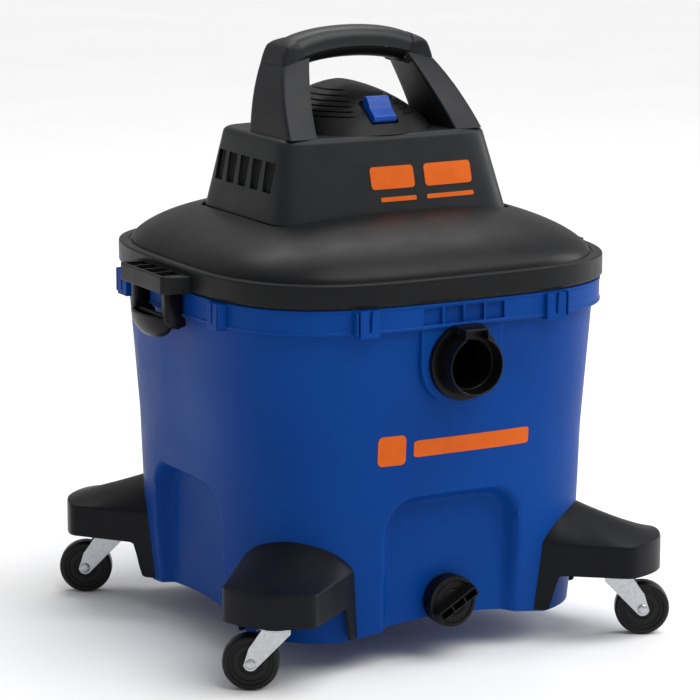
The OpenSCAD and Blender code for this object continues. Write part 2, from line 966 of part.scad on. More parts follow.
module cover_block(shrink) {
    rise = cover_top_z - housing_top_z - shrink;
    skin([for (t = cover_levels)
        let (k = sqrt(1 - t * t))
            ring(
                k * (cover_half_x - shrink),
                k * (cover_half_y - shrink),
                2.3,
                housing_top_z + t * rise - (t == 0 && shrink > 0 ? 1 : 0),
                0,
                cover_cy + cover_lean * t * (1 - 0.25 * t))]);
}

switch_y = -50;
switch_z = 609;
switch_tilt = 38;
pocket_w = rocker_w + 6;
pocket_h = 29;
rocker_h = 22;
rocker_pin_z = -5;

// Puts a shape into the frame of the switch, with +Z straight out of the cover
module at_switch() {
    translate([0, switch_y, switch_z])
        rotate([switch_tilt, 0, 0])
            children();
}

module motor_cover() {
    color(black)
        difference() {
            cover_block(0);
            cover_block(cover_wall);
            at_switch()
                cube([pocket_w, pocket_h, 40], center = true);
        }
}

module switch_rocker() {
    color(blue)
        at_switch()
            difference() {
                union() {
                    translate([0, 0, rocker_pin_z])
                        rotate([0, 90, 0])
                            cylinder(r = 6, h = rocker_w, center = true);
                    translate([-rocker_w / 2, 0, 0])
                        rotate([90, 0, 90])
                            linear_extrude(height = rocker_w)
                                polygon([
                                    [-rocker_h / 2, 1],
                                    [-rocker_h / 2 + 2, -5],
                                    [rocker_h / 2 - 2, -5],
                                    [rocker_h / 2, 4],
                                    [rocker_h / 2 - 3, 6],
                                    [0, 2]]);
                }
                translate([0, 0, rocker_pin_z])
                    rotate([0, 90, 0])
                        cylinder(r = 1.5 + running_gap, h = 2 * rocker_w, center = true);
            }
}

module switch_body() {
    base_z = rocker_pin_z - 8;
    color("dimgray")
        at_switch() {
            difference() {
                translate([-pocket_w / 2, -pocket_h / 2, base_z - 10])
                    cube([pocket_w, pocket_h, -base_z + 9]);
                translate([-rocker_w / 2 - 1, -pocket_h / 2 + 1, base_z])
                    cube([rocker_w + 2, pocket_h - 2, 40]);
            }
            translate([0, 0, rocker_pin_z])
                rotate([0, 90, 0])
                    cylinder(r = 1.5, h = pocket_w - 1, center = true);
        }
}

module exhaust_port() {
    color(black)
        difference() {
            union() {
                facing_back(exhaust_pad_y, exhaust_z)
                    cylinder(r = exhaust_r + exhaust_wall + exhaust_flange_w, h = exhaust_flange_h);
                facing_back(exhaust_in_y, exhaust_z)
                    cylinder(r = exhaust_r + exhaust_wall - 0.1, h = exhaust_y - exhaust_in_y);
            }
            facing_back(exhaust_in_y - 1, exhaust_z)
                cylinder(r = exhaust_r, h = far);
        }
}

module cord_gland() {
    color(black)
        difference() {
            union() {
                facing_back(gland_y, gland_z, gland_x)
                    cylinder(r = gland_r - 0.1, h = gland_len);
                facing_back(gland_flange_y, gland_z, gland_x)
                    cylinder(r = gland_r + 3, h = 3);
            }
            facing_back(gland_y - 1, gland_z, gland_x)
                cylinder(r = gland_bore_r, h = far);
        }
}

// ---------------------------------------------------------------- handle

post_bottom_cy = -21;
post_top_cy = 25.5;
post_bottom_half = [18.5, 51];
post_top_half = [14, 29.5];
post_square = 6;
post_bow = 5;

function mix(a, b, t) = a + (b - a) * t;

module post(side) {
    steps = 4;
    skin([for (i = [0 : steps])
        let (t = i / steps)
            ring(
                mix(post_bottom_half[0], post_top_half[0], t),
                mix(post_bottom_half[1], post_top_half[1], t),
                post_square,
                mix(housing_top_z, seam_z, t),
                side * (mix(post_half_span, grip_half_span, t) + post_bow * 4 * t * (1 - t)),
                mix(post_bottom_cy, post_top_cy, t))]);
}

module handle_posts() {
    color(black)
        for (side = [-1, 1])
            post(side);
}

grip_thick = 19;
grip_rise = grip_top_z - seam_z - grip_thick;
grip_depth = 24;
section_points = 24;
grip_square = 0.8;
seam_lift = 0.05;
seam_clear = 2;

// Point at angle a round the grip's section, at angle t along its arch: 0 right seam, 180 left seam
function grip_point(t, a, low = -1) =
    let (
        nx = cos(t) / grip_half_span,
        nz = sin(t) / grip_rise,
        l = sqrt(nx * nx + nz * nz),
        blend = pow(sin(t), 0.6),
        thick = mix(post_top_half[0], grip_thick, blend),
        depth = mix(post_top_half[1], grip_depth, blend),
        up = max(thick * bend(sin(a), grip_square), low * thick),
        x = grip_half_span * cos(t) + up * nx / l,
        z = seam_z + grip_rise * sin(t) + up * nz / l,
        // over the posts, the underside stays above the seam
        held = seam_z + seam_lift * min(t, 180 - t))
        [
            x,
            post_top_cy + depth * bend(cos(a), grip_square),
            abs(x) > grip_half_span - post_top_half[0] - seam_clear ? max(z, held) : z];

function grip_ring(t, low) = [
    for (i = [section_points : -1 : 1]) grip_point(t, 360 * i / section_points, low)];

grip_split = 34;
split_step = 0.6;
shell_stations = 10;

// The top of the grip, with the two corners that stand on the posts
module grip_upper() {
    corner = [0, 6, 12, 19, 26, grip_split];
    first = grip_split + split_step;
    shell = [for (i = [0 : shell_stations]) mix(first, 180 - first, i / shell_stations)];
    color(black)
        skin(concat(
            [for (t = corner) grip_ring(t, -1)],
            [for (t = shell) grip_ring(t, 0)],
            [for (i = [len(corner) - 1 : -1 : 0]) grip_ring(180 - corner[i], -1)]));
}

// The lower half of the grip, between the corners
module grip_lower() {
    first = grip_split + 2 * split_step;
    color(black)
        skin([for (i = [0 : shell_stations])
            [for (j = [0 : section_points / 2])
                grip_point(mix(first, 180 - first, i / shell_stations), 358 - 352 * j / section_points)]]);
}

// ---------------------------------------------------------------- motor and fan

fan_r = 82;
fan_wall = 2;
fan_low_z = well_floor_z + well_floor_h + 2;
fan_top_z = 500;
fan_inlet_r = 24;
bearing_r = 11;
bearing_h = 7;
boss_r = 15;
bridge_z = 574;
bridge_h = 9;
core_r = 46;
core_bore_r = 26.5;
core_z = 514;
core_h = 34;
armature_r = 26;
coil_h = 10;
commutator_r = 12;
commutator_z = 556;
commutator_h = 12;
shaft_low_z = 450;
shaft_top_z = 596;

module fan_housing() {
    color("silver")
        difference() {
            translate([0, 0, fan_low_z])
                cylinder(r = fan_r, h = fan_top_z - fan_low_z);
            translate([0, 0, fan_low_z + fan_wall])
                cylinder(r = fan_r - fan_wall, h = fan_top_z - fan_low_z - 2 * fan_wall);
            translate([0, 0, fan_low_z - 1])
                cylinder(r = fan_inlet_r, h = 10);
            translate([0, 0, fan_top_z - 10])
                cylinder(r = bearing_r, h = 20);
            around(8)
                translate([fan_r, 0, fan_top_z - 13])
                    cube([20, 24, 12], center = true);
        }
}

module fan_gasket() {
    color("dimgray")
        translate([0, 0, well_floor_z + well_floor_h])
            tube(fan_r - 4, fan_r - 20, 2);
}

module motor_bracket() {
    pillar_r = 54;
    color("silver")
        difference() {
            union() {
                translate([0, 0, fan_top_z])
                    cylinder(r = pillar_r + 6, h = 3);
                translate([0, 0, fan_top_z])
                    cylinder(r = boss_r, h = bearing_h + 1);
                translate([0, 0, bridge_z])
                    cylinder(r = boss_r, h = bridge_h);
                translate([-pillar_r - 4, -8, bridge_z])
                    cube([2 * pillar_r + 8, 16, 4]);
                for (side = [-1, 1])
                    translate([side * pillar_r - 3, -8, fan_top_z])
                        cube([6, 16, bridge_z - fan_top_z + 1]);
            }
            translate([0, 0, fan_top_z - 1])
                cylinder(r = bearing_r, h = bearing_h + 3);
            translate([0, 0, bridge_z - 1])
                cylinder(r = bearing_r, h = bridge_h + 2);
        }
}

module bearing(z) {
    color(steel)
        translate([0, 0, z])
            tube(bearing_r, shaft_r + running_gap, bearing_h);
}

module field_core() {
    color("slategray")
        difference() {
            translate([0, 0, core_z])
                cylinder(r = core_r, h = core_h);
            translate([0, 0, core_z - 1])
                cylinder(r = core_bore_r, h = core_h + 2);
            for (side = [-1, 1])
                translate([0, side * (core_r + 4), core_z + core_h / 2])
                    cube([50, 20, core_h + 2], center = true);
        }
}

module field_windings() {
    color("chocolate")
        for (z = [core_z - coil_h, core_z + core_h])
            translate([0, 0, z])
                tube(core_r - 10, core_bore_r + 1, coil_h - (z > core_z ? 4 : 0));
}

module brush_holders() {
    color("goldenrod")
        for (side = [-1, 1])
            translate([side > 0 ? commutator_r + fit_gap : -commutator_r - fit_gap - 34, -5, commutator_z + 2])
                cube([34, 10, 8]);
}

module motor_shaft() {
    color(steel)
        translate([0, 0, shaft_low_z])
            cylinder(r = shaft_r, h = shaft_top_z - shaft_low_z);
}

module armature() {
    color("slategray")
        translate([0, 0, core_z + 1])
            tube(armature_r, shaft_r, core_h - 2);
}

module commutator() {
    color("peru")
        translate([0, 0, commutator_z])
            tube(commutator_r, shaft_r, commutator_h);
}

impeller_z = 454;
impeller_h = 18;
blades = 8;
blade_t = 1.5;

module impeller() {
    color("silver")
        difference() {
            union() {
                translate([0, 0, impeller_z])
                    tube(impeller_r, fan_inlet_r - 2, blade_t);
                translate([0, 0, impeller_z + impeller_h])
                    cylinder(r = impeller_r, h = blade_t);
                translate([0, 0, impeller_z + impeller_h - 10])
                    cylinder(r = 12, h = 10);
                around(blades)
                    translate([fan_inlet_r, 0, impeller_z])
                        rotate([0, 0, 28])
                            cube([48, blade_t, impeller_h]);
            }
            translate([0, 0, impeller_z - 1])
                cylinder(r = shaft_r, h = impeller_h + 10);
        }
}

fan_blade_r = 30;
cooling_z = 586;

module cooling_fan() {
    color("silver")
        translate([0, 0, cooling_z])
            difference() {
                union() {
                    cylinder(r = fan_blade_r, h = blade_t);
                    cylinder(r = 10, h = 9);
                    around(10)
                        translate([8, 0, 0])
                            cube([fan_blade_r - 10, blade_t, 8]);
                }
                translate([0, 0, -1])
                    cylinder(r = shaft_r, h = 20);
            }
}

// ---------------------------------------------------------------- nodes

tank();
inlet_port();
inlet_gasket();
inlet_deflector();
drain_gasket();
drain_cap();
foot_at(CORNERS[0]);  // foot_front_left
foot_at(CORNERS[1]);  // foot_front_right
foot_at(CORNERS[2]);  // foot_back_left
foot_at(CORNERS[3]);  // foot_back_right
stem(CORNERS[0]);  // stem_front_left
stem(CORNERS[1]);  // stem_front_right
stem(CORNERS[2]);  // stem_back_left
stem(CORNERS[3]);  // stem_back_right
fork(CORNERS[0]);  // fork_front_left
fork(CORNERS[1]);  // fork_front_right
fork(CORNERS[2]);  // fork_back_left
fork(CORNERS[3]);  // fork_back_right
axle(CORNERS[0]);  // axle_front_left
axle(CORNERS[1]);  // axle_front_right
axle(CORNERS[2]);  // axle_back_left
axle(CORNERS[3]);  // axle_back_right
wheel(CORNERS[0]);  // wheel_front_left
wheel(CORNERS[1]);  // wheel_front_right
wheel(CORNERS[2]);  // wheel_back_left
wheel(CORNERS[3]);  // wheel_back_right
lid();
lid_seal();
mirror([1, 0, 0]) latch();  // latch_left
latch();  // latch_right
latch_pins();
filter_cage();
cage_screws();
float_ball();
filter_media();
filter_caps();
motor_housing();
motor_cover();
handle_posts();
grip_upper();
grip_lower();
switch_rocker();
switch_body();
cord_gland();
exhaust_port();
fan_housing();
fan_gasket();
motor_bracket();
bearing(fan_top_z);  // bearing_lower
bearing(bridge_z + 1);  // bearing_upper
field_core();
field_windings();
brush_holders();
motor_shaft();
armature();
commutator();
impeller();
cooling_fan();
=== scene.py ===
"""Looks of a wet and dry shop vacuum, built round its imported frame.

Lengths are in metres. The origin is on the floor under the centre of the tank, the hose inlet faces -Y and
+Z is up. Each sub-assembly is a class that holds its sizes, shapes its pieces and dresses them. Most pieces
start as a ring or a block that is extruded, cut, bevelled and smoothed, and each rides on the body that
carries it.
"""

import logging
import math
from collections.abc import Callable, Sequence
from dataclasses import dataclass
from enum import Enum

import bpy
from mathutils import Matrix, Vector


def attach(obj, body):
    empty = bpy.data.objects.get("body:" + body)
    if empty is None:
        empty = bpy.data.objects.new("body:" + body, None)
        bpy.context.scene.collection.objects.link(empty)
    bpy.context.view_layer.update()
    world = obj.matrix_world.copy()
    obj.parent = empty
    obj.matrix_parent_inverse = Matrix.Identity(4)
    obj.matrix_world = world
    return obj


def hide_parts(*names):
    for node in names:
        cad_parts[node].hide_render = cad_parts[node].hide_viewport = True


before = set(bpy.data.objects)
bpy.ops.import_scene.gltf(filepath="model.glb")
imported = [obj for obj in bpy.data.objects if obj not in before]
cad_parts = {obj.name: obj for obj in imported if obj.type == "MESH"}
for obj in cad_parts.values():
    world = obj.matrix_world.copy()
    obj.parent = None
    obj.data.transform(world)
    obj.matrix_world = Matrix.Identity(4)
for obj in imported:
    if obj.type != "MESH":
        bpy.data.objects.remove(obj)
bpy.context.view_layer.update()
LOG = logging.getLogger("shop_vacuum")

Point = tuple[float, float, float]
Colour = tuple[float, float, float]
Ring = Callable[[float], Point]
Bar = tuple[tuple[float, float], tuple[float, float]]
MeshObject = bpy.types.Object

TURN = 2 * math.pi
CORNERS = ("front_left", "front_right", "back_left", "back_right")


# ---------------------------------------------------------------------------------------------- hand tools


class Ends(Enum):
    """How the two ends of a skinned row of rings are left."""

    CAPPED = "capped"
    JOINED = "joined"


class Pick(Enum):
    """What an edit works on."""

    VERTS = "VERT"
    EDGES = "EDGE"
    FACES = "FACE"


def mix(a: float, b: float, t: float) -> float:
    """Value a share t of the way from a to b."""
    return a + (b - a) * t


def clamp(value: float, low: float = 0.0, high: float = 1.0) -> float:
    """The value held between two limits."""
    return max(low, min(high, value))


def ease(t: float) -> float:
    """Smooth step from 0 to 1."""
    t = clamp(t)
    return t * t * (3 - 2 * t)


def along(stations: Sequence[tuple[float, float]], x: float) -> float:
    """Straight-line lookup in a table of (position, value).

    Args:
        stations: pairs in rising order of position
        x: position asked for

    Returns:
        The value there, held at the ends.
    """
    if x <= stations[0][0]:
        return stations[0][1]
    for (x0, v0), (x1, v1) in zip(stations, stations[1:]):
        if x <= x1:
            return mix(v0, v1, (x - x0) / (x1 - x0))
    return stations[-1][1]


def squircle(angle: float, half_x: float, half_y: float, square: float,
             crowd: float = 0.0) -> tuple[float, float]:
    """Point of a rounded rectangle at an angle round it.

    Args:
        angle: place round the outline, with a corner at each odd eighth of a turn
        half_x: half width
        half_y: half depth
        square: exponent, where 2 is an ellipse and a large one a rectangle
        crowd: how strongly points gather in the corners, from 0 to 1

    Returns:
        The x and y of the point.
    """
    angle += crowd * math.sin(4 * angle) / 4
    c, s = math.cos(angle), math.sin(angle)
    scale = (abs(c) ** square + abs(s) ** square) ** (-1 / square)
    return half_x * scale * c, half_y * scale * s


def take(*objects: MeshObject) -> MeshObject:
    """Selects these objects and nothing else, and makes the first one active.

    Args:
        objects: what to select

    Returns:
        The first object.
    """
    bpy.ops.object.select_all(action="DESELECT")
    for obj in objects:
        obj.select_set(True)
    bpy.context.view_layer.objects.active = objects[0]
    return objects[0]


def fresh(name: str) -> MeshObject:
    """Names the primitive that was just added, and its mesh."""
    obj = bpy.context.object
    obj.name = obj.data.name = name
    return obj


def edit(obj: MeshObject, kind: Pick, test: Callable[[Vector], bool] | None = None,
         facing: Vector | None = None) -> None:
    """Opens an object in edit mode with chosen elements selected.

    Args:
        obj: what to edit
        kind: vertices, edges or faces
        test: picks an element by its middle, or everything where it is left out
        facing: keeps only faces that look this way
    """
    take(obj)
    bpy.ops.object.mode_set(mode="EDIT")
    bpy.ops.mesh.select_mode(type=kind.value)
    bpy.ops.mesh.select_all(action="SELECT" if test is None and facing is None else "DESELECT")
    if test is None and facing is None:
        return
    bpy.ops.object.mode_set(mode="OBJECT")
    mesh = obj.data
    passes = test or (lambda _middle: True)
    if kind is Pick.VERTS:
        for vert in mesh.vertices:
            vert.select = passes(vert.co)
    elif kind is Pick.EDGES:
        for edge in mesh.edges:
            a, b = (mesh.vertices[i].co for i in edge.vertices)
            edge.select = passes((a + b) / 2)
    else:
        for face in mesh.polygons:
            face.select = passes(face.center) and (facing is None or face.normal.dot(facing) > 0.9)
    bpy.ops.object.mode_set(mode="EDIT")


def leave() -> None:
    """Back to object mode."""
    bpy.ops.object.mode_set(mode="OBJECT")


def outwards(obj: MeshObject) -> MeshObject:
    """Merges doubles and turns every face outwards."""
    edit(obj, Pick.FACES)
    bpy.ops.mesh.remove_doubles(threshold=1e-6)
    bpy.ops.mesh.normals_make_consistent(inside=False)
    leave()
    return obj


def skin(name: str, columns: int, rings: Sequence[Ring], ends: Ends = Ends.CAPPED) -> MeshObject:
    """Extrudes a circle ring by ring and lays each ring on its place.

    Args:
        name: name of the piece
        columns: points round each ring
        rings: for each ring, the rule that gives a point from its angle
        ends: whether the ends are filled or bridged to each other

    Returns:
        The new object, smooth shaded, with its faces outwards.
    """
    bpy.ops.object.select_all(action="DESELECT")
    bpy.ops.mesh.primitive_circle_add(vertices=columns, radius=1)
    obj = fresh(name)
    last = len(rings) - 1
    edit(obj, Pick.EDGES)
    for _ in range(last):
        bpy.ops.mesh.extrude_region_move(TRANSFORM_OT_translate={"value": (0, 0, 1)})
    leave()
    if ends is Ends.JOINED:
        edit(obj, Pick.EDGES, lambda p: p.z < 0.25 or p.z > last - 0.25)
        bpy.ops.mesh.bridge_edge_loops()
        leave()
    else:
        for level in (0, last):
            edit(obj, Pick.EDGES, lambda p, level=level: abs(p.z - level) < 0.25)
            bpy.ops.mesh.edge_face_add()
            leave()
    for vert in obj.data.vertices:
        vert.co = rings[round(vert.co.z)](math.atan2(vert.co.y, vert.co.x))
    edit(obj, Pick.FACES)
    bpy.ops.mesh.normals_make_consistent(inside=False)
    bpy.ops.mesh.faces_shade_smooth()
    leave()
    return obj


def turned(name: str, profile: Sequence[tuple[float, float]], columns: int, place: Matrix,
           ends: Ends = Ends.CAPPED) -> MeshObject:
    """A lathe-turned piece.

    Args:
        name: name of the piece
        profile: (radius, height) of each ring
        columns: points round each ring
        place: where the lathe's axis goes
        ends: how the ends of the profile are left

    Returns:
        The new object.
    """
    def ring(radius: float, height: float) -> Ring:
        """Round ring of the profile."""
        return lambda a: tuple(place @ Vector((radius * math.cos(a), radius * math.sin(a), height)))

    return skin(name, columns, [ring(*point) for point in profile], ends)


def block(name: str, low: Point, high: Point) -> MeshObject:
    """A block between two corners, ready to be cut and bevelled."""
    bpy.ops.object.select_all(action="DESELECT")
    size = [b - a for a, b in zip(low, high)]
    middle = [(a + b) / 2 for a, b in zip(low, high)]
    bpy.ops.mesh.primitive_cube_add(size=1, location=middle, scale=size)
    obj = fresh(name)
    bpy.ops.object.transform_apply(location=True, rotation=True, scale=True)
    return obj


def sheet_metal(name: str, outline: Sequence[tuple[float, float]], thick: float, place: Matrix) -> MeshObject:
    """A flat outline extruded to a plate.

    Args:
        name: name of the piece
        outline: corners in the plate's own plane, in order
        thick: thickness, along the plate's own +Z
        place: where the plate goes

    Returns:
        The new object.
    """
    bpy.ops.object.select_all(action="DESELECT")
    bpy.ops.mesh.primitive_circle_add(vertices=len(outline), radius=1, fill_type="NGON")
    obj = fresh(name)
    for vert, (x, y) in zip(obj.data.vertices, outline):
        vert.co = (x, y, 0)
    edit(obj, Pick.FACES)
    bpy.ops.mesh.extrude_region_move(TRANSFORM_OT_translate={"value": (0, 0, thick)})
    leave()
    obj.data.transform(place)
    return outwards(obj)


def modify(obj: MeshObject, kind: str, **settings: object) -> MeshObject:
    """Adds a modifier with these settings and applies it.

    Args:
        obj: what to change
        kind: Blender's name of the modifier
        settings: the modifier's values

    Returns:
        The same object.
    """
    take(obj)
    modifier = obj.modifiers.new(kind.lower(), kind)
    for key, value in settings.items():
        setattr(modifier, key, value)
    bpy.ops.object.modifier_apply(modifier=modifier.name)
    return obj


def soften(obj: MeshObject, width: float, segments: int = 3, sharper_than: float = 40.0) -> MeshObject:
    """Rounds every edge that turns more than an angle in degrees."""
    return modify(obj, "BEVEL", width=width, segments=segments, limit_method="ANGLE",
                  angle_limit=math.radians(sharper_than), harden_normals=False, use_clamp_overlap=True)


def cut(obj: MeshObject, tool: MeshObject) -> MeshObject:
    """Takes the tool's shape out of an object, and removes the tool."""
    modify(obj, "BOOLEAN", operation="DIFFERENCE", object=tool, solver="EXACT")
    bpy.data.objects.remove(tool)
    return obj


def join(name: str, *objects: MeshObject) -> MeshObject:
    """Joins objects into one piece with a new name."""
    take(*objects)
    if len(objects) > 1:
        bpy.ops.object.join()
    return fresh(name)


def copied(obj: MeshObject, name: str, place: Matrix) -> MeshObject:
    """A copy with its own mesh, put in a new place.

    Args:
        obj: the finished model
        name: name of the copy
        place: how the copy is moved; a mirror has its faces turned outwards again

    Returns:
        The copy.
    """
    take(obj)
    bpy.ops.object.duplicate(linked=False)
    return moved(fresh(name), place)


def moved(obj: MeshObject, place: Matrix) -> MeshObject:
    """Moves an object's mesh, and turns its faces out again after a mirror."""
    obj.data.transform(place)
    if place.determinant() < 0:
        edit(obj, Pick.FACES)
        bpy.ops.mesh.flip_normals()
        leave()
    return obj


def smooth(obj: MeshObject, angle: float = 35.0) -> MeshObject:
    """Smooth shading that keeps flat faces flat and edges sharper than an angle in degrees crisp."""
    take(obj)
    bpy.ops.object.shade_smooth_by_angle(angle=math.radians(angle))
    return modify(obj, "WEIGHTED_NORMAL", keep_sharp=True, weight=50)


def round_corner(centre: tuple[float, float], radius: float, start: float, end: float,
                 steps: int) -> list[tuple[float, float]]:
    """Points of an arc, with its angles in degrees."""
    angles = [math.radians(mix(start, end, i / steps)) for i in range(steps + 1)]
    return [(centre[0] + radius * math.cos(a), centre[1] + radius * math.sin(a)) for a in angles]


def facing_front(y: float, z: float, x: float = 0.0) -> Matrix:
    """Frame whose +Z points out of the front (-Y) and whose +Y points up."""
    return Matrix.Translation((x, y, z)) @ Matrix.Rotation(math.pi / 2, 4, "X")


def facing_back(y: float, z: float, x: float = 0.0) -> Matrix:
    """Frame whose +Z points out of the back (+Y)."""
    return Matrix.Translation((x, y, z)) @ Matrix.Rotation(-math.pi / 2, 4, "X")


def facing_side(side: int) -> Matrix:
    """Frame drawn for the right side (+X), mirrored for the left."""
    return Matrix.Scale(-1, 4, (1, 0, 0)) if side < 0 else Matrix.Identity(4)


# ------------------------------------------------------------------------------------------------ finishes


class Pattern(Enum):
    """What a surface's two shades follow."""

    CLOUD = "soft clouds"
    LAYERS = "thin level layers"
    SPANGLE = "crystal patches"
    FLECK = "fine flecks"


@dataclass(frozen=True)
class Finish:
    """A surface: two shades, a roughness that wanders, a fine grain and a slow unevenness in relief."""

    name: str
    slot: str
    shade: Colour
    lighter: Colour
    rough: tuple[float, float]
    pattern: Pattern = Pattern.CLOUD
    scale: float = 7.0
    grain: float = 1400.0
    relief: float = 0.05
    unevenness: float = 0.06
    metallic: float = 0.0
    specular: float = 0.5

    def material(self) -> bpy.types.Material:
        """The finish as a Blender material, made once."""
        made = bpy.data.materials.get(self.name)
        if made is not None:
            return made
        made = bpy.data.materials.new(self.name)
        made.use_nodes = True
        tree = made.node_tree
        nodes, links = tree.nodes, tree.links
        shader = nodes["Principled BSDF"]
        shader.inputs["Metallic"].default_value = self.metallic
        shader.inputs["Specular IOR Level"].default_value = self.specular
        place = nodes.new("ShaderNodeTexCoord").outputs["Object"]
        ramp = nodes.new("ShaderNodeValToRGB")
        ramp.color_ramp.elements[0].position = 0.32
        ramp.color_ramp.elements[1].position = 0.72
        ramp.color_ramp.elements[0].color = (*self.shade, 1.0)
        ramp.color_ramp.elements[1].color = (*self.lighter, 1.0)
        links.new(self._pattern(tree, place), ramp.inputs["Fac"])
        links.new(ramp.outputs["Color"], shader.inputs["Base Color"])
        wander = nodes.new("ShaderNodeMapRange")
        wander.inputs["From Min"].default_value = 0.3
        wander.inputs["From Max"].default_value = 0.7
        wander.inputs["To Min"].default_value = self.rough[0]
        wander.inputs["To Max"].default_value = self.rough[1]
        links.new(self._noise(tree, place, self.scale * 4, 4.0), wander.inputs["Value"])
        links.new(wander.outputs["Result"], shader.inputs["Roughness"])
        slow = self._bump(tree, self._noise(tree, place, 26.0, 2.0), self.unevenness, 0.002)
        fine = self._bump(tree, self._noise(tree, place, self.grain, 2.0), self.relief, 0.0004)
        links.new(slow.outputs["Normal"], fine.inputs["Normal"])
        links.new(fine.outputs["Normal"], shader.inputs["Normal"])
        return made

    @staticmethod
    def _noise(tree: bpy.types.NodeTree, place: bpy.types.NodeSocket, scale: float,
               detail: float) -> bpy.types.NodeSocket:
        """A noise read at the surface's own place."""
        noise = tree.nodes.new("ShaderNodeTexNoise")
        noise.inputs["Scale"].default_value = scale
        noise.inputs["Detail"].default_value = detail
        tree.links.new(place, noise.inputs["Vector"])
        return noise.outputs["Fac"]

    @staticmethod
    def _bump(tree: bpy.types.NodeTree, height: bpy.types.NodeSocket, strength: float,
              distance: float) -> bpy.types.Node:
        """A bump node fed by a height."""
        bump = tree.nodes.new("ShaderNodeBump")
        bump.inputs["Strength"].default_value = strength
        bump.inputs["Distance"].default_value = distance
        tree.links.new(height, bump.inputs["Height"])
        return bump

    def _pattern(self, tree: bpy.types.NodeTree, place: bpy.types.NodeSocket) -> bpy.types.NodeSocket:
        """The height that mixes the two shades."""
        nodes, links = tree.nodes, tree.links
        if self.pattern is Pattern.LAYERS:
            wave = nodes.new("ShaderNodeTexWave")
            wave.bands_direction = "Z"
            wave.inputs["Scale"].default_value = self.scale
            wave.inputs["Distortion"].default_value = 0.6
            links.new(place, wave.inputs["Vector"])
            return wave.outputs["Fac"]
        if self.pattern is Pattern.SPANGLE:
            cells = nodes.new("ShaderNodeTexVoronoi")
            cells.inputs["Scale"].default_value = self.scale
            links.new(place, cells.inputs["Vector"])
            split = nodes.new("ShaderNodeSeparateColor")
            links.new(cells.outputs["Color"], split.inputs["Color"])
            return split.outputs["Red"]
        detail = 8.0 if self.pattern is Pattern.FLECK else 3.0
        return self._noise(tree, place, self.scale, detail)

    def dress(self, *pieces: MeshObject) -> None:
        """Gives pieces this finish's material, in place of any they had."""
        for piece in pieces:
            piece.data.materials.clear()
            piece.data.materials.append(self.material())


TANK_BLUE = Finish("tank_blue_polypropylene", "tank_blue", (0.0008, 0.039, 0.222), (0.0016, 0.050, 0.262),
                   (0.38, 0.48), scale=5.0, relief=0.10, unevenness=0.10, specular=0.07)
LID_BLACK = Finish("lid_charcoal_plastic", "lid_black", (0.0046, 0.0050, 0.0058),
                   (0.0070, 0.0075, 0.0086), (0.36, 0.46), relief=0.12, unevenness=0.08, specular=0.16)
HEAD_BLACK = Finish("head_charcoal_plastic", "head_black", (0.0085, 0.0095, 0.0110),
                    (0.0125, 0.0138, 0.0155), (0.40, 0.50), relief=0.16, unevenness=0.08, specular=0.2)
COVER_BLACK = Finish("cover_black_plastic", "gloss_black", (0.0040, 0.0042, 0.0048),
                     (0.0062, 0.0065, 0.0074), (0.36, 0.46), relief=0.10, specular=0.14)
POST_BLACK = Finish("handle_black_plastic", "gloss_black", (0.0080, 0.0086, 0.0104),
                    (0.0118, 0.0126, 0.0148), (0.38, 0.48), relief=0.14, specular=0.2)
GRIP_BLACK = Finish("grip_black_plastic", "gloss_black", (0.0095, 0.0104, 0.0116),
                    (0.0140, 0.0150, 0.0168), (0.34, 0.44), relief=0.12, specular=0.28)
# Painted shade: the grip's underside is the same black plastic as its top, made darker and duller so that it
# reads as shaded from below.
GRIP_PAINTED_SHADE = Finish("grip_underside_painted_shade", "gloss_black", (0.0035, 0.0036, 0.0040),
                   (0.0056, 0.0057, 0.0062), (0.44, 0.54), relief=0.16, specular=0.1)
FITTING_BLACK = Finish("fitting_black_plastic", "gloss_black", (0.0028, 0.0028, 0.0034),
                       (0.0046, 0.0046, 0.0054), (0.30, 0.40), relief=0.08, specular=0.16)
FOOT_BLACK = Finish("foot_black_plastic", "gloss_black", (0.0042, 0.0046, 0.0060),
                    (0.0066, 0.0072, 0.0090), (0.36, 0.46), relief=0.14, unevenness=0.08, specular=0.12)
SWITCH_BLUE = Finish("switch_blue_plastic", "switch_blue", (0.002, 0.042, 0.27), (0.004, 0.055, 0.32),
                     (0.26, 0.34), scale=30.0, relief=0.04, specular=0.2)
ORANGE_PRINT = Finish("orange_print", "", (0.62, 0.105, 0.010), (0.66, 0.120, 0.013), (0.45, 0.55),
                      scale=60.0, relief=0.05, specular=0.10)
ZINC = Finish("zinc_plated_steel", "zinc", (0.47, 0.485, 0.50), (0.53, 0.545, 0.56), (0.28, 0.38),
              Pattern.SPANGLE, 420.0, grain=900.0, relief=0.08, unevenness=0.10, metallic=1.0)
WHEEL_BLACK = Finish("wheel_black_plastic", "wheel_black", (0.0045, 0.0045, 0.0048),
                     (0.0075, 0.0075, 0.0075), (0.34, 0.46), scale=40.0, relief=0.10, specular=0.22)
SEAL_RUBBER = Finish("seal_rubber", "seal", (0.018, 0.018, 0.018), (0.028, 0.028, 0.027), (0.62, 0.78),
                     scale=60.0, grain=2200.0, relief=0.20)
FILTER_PAPER = Finish("filter_paper", "paper", (0.72, 0.69, 0.60), (0.84, 0.82, 0.75), (0.80, 0.92),
                      Pattern.FLECK, 240.0, grain=1800.0, relief=0.35)
FLOAT_WHITE = Finish("float_white_plastic", "float_white", (0.74, 0.74, 0.71), (0.84, 0.84, 0.82),
                     (0.30, 0.40), scale=30.0, relief=0.05)
COPPER = Finish("enamelled_copper", "copper", (0.30, 0.105, 0.035), (0.62, 0.27, 0.11), (0.26, 0.38),
                Pattern.LAYERS, 320.0, relief=0.10, metallic=0.9)
LAMINATION = Finish("stacked_laminations", "lamination", (0.12, 0.125, 0.135), (0.30, 0.31, 0.33),
                    (0.40, 0.55), Pattern.LAYERS, 520.0, relief=0.12, metallic=0.8)
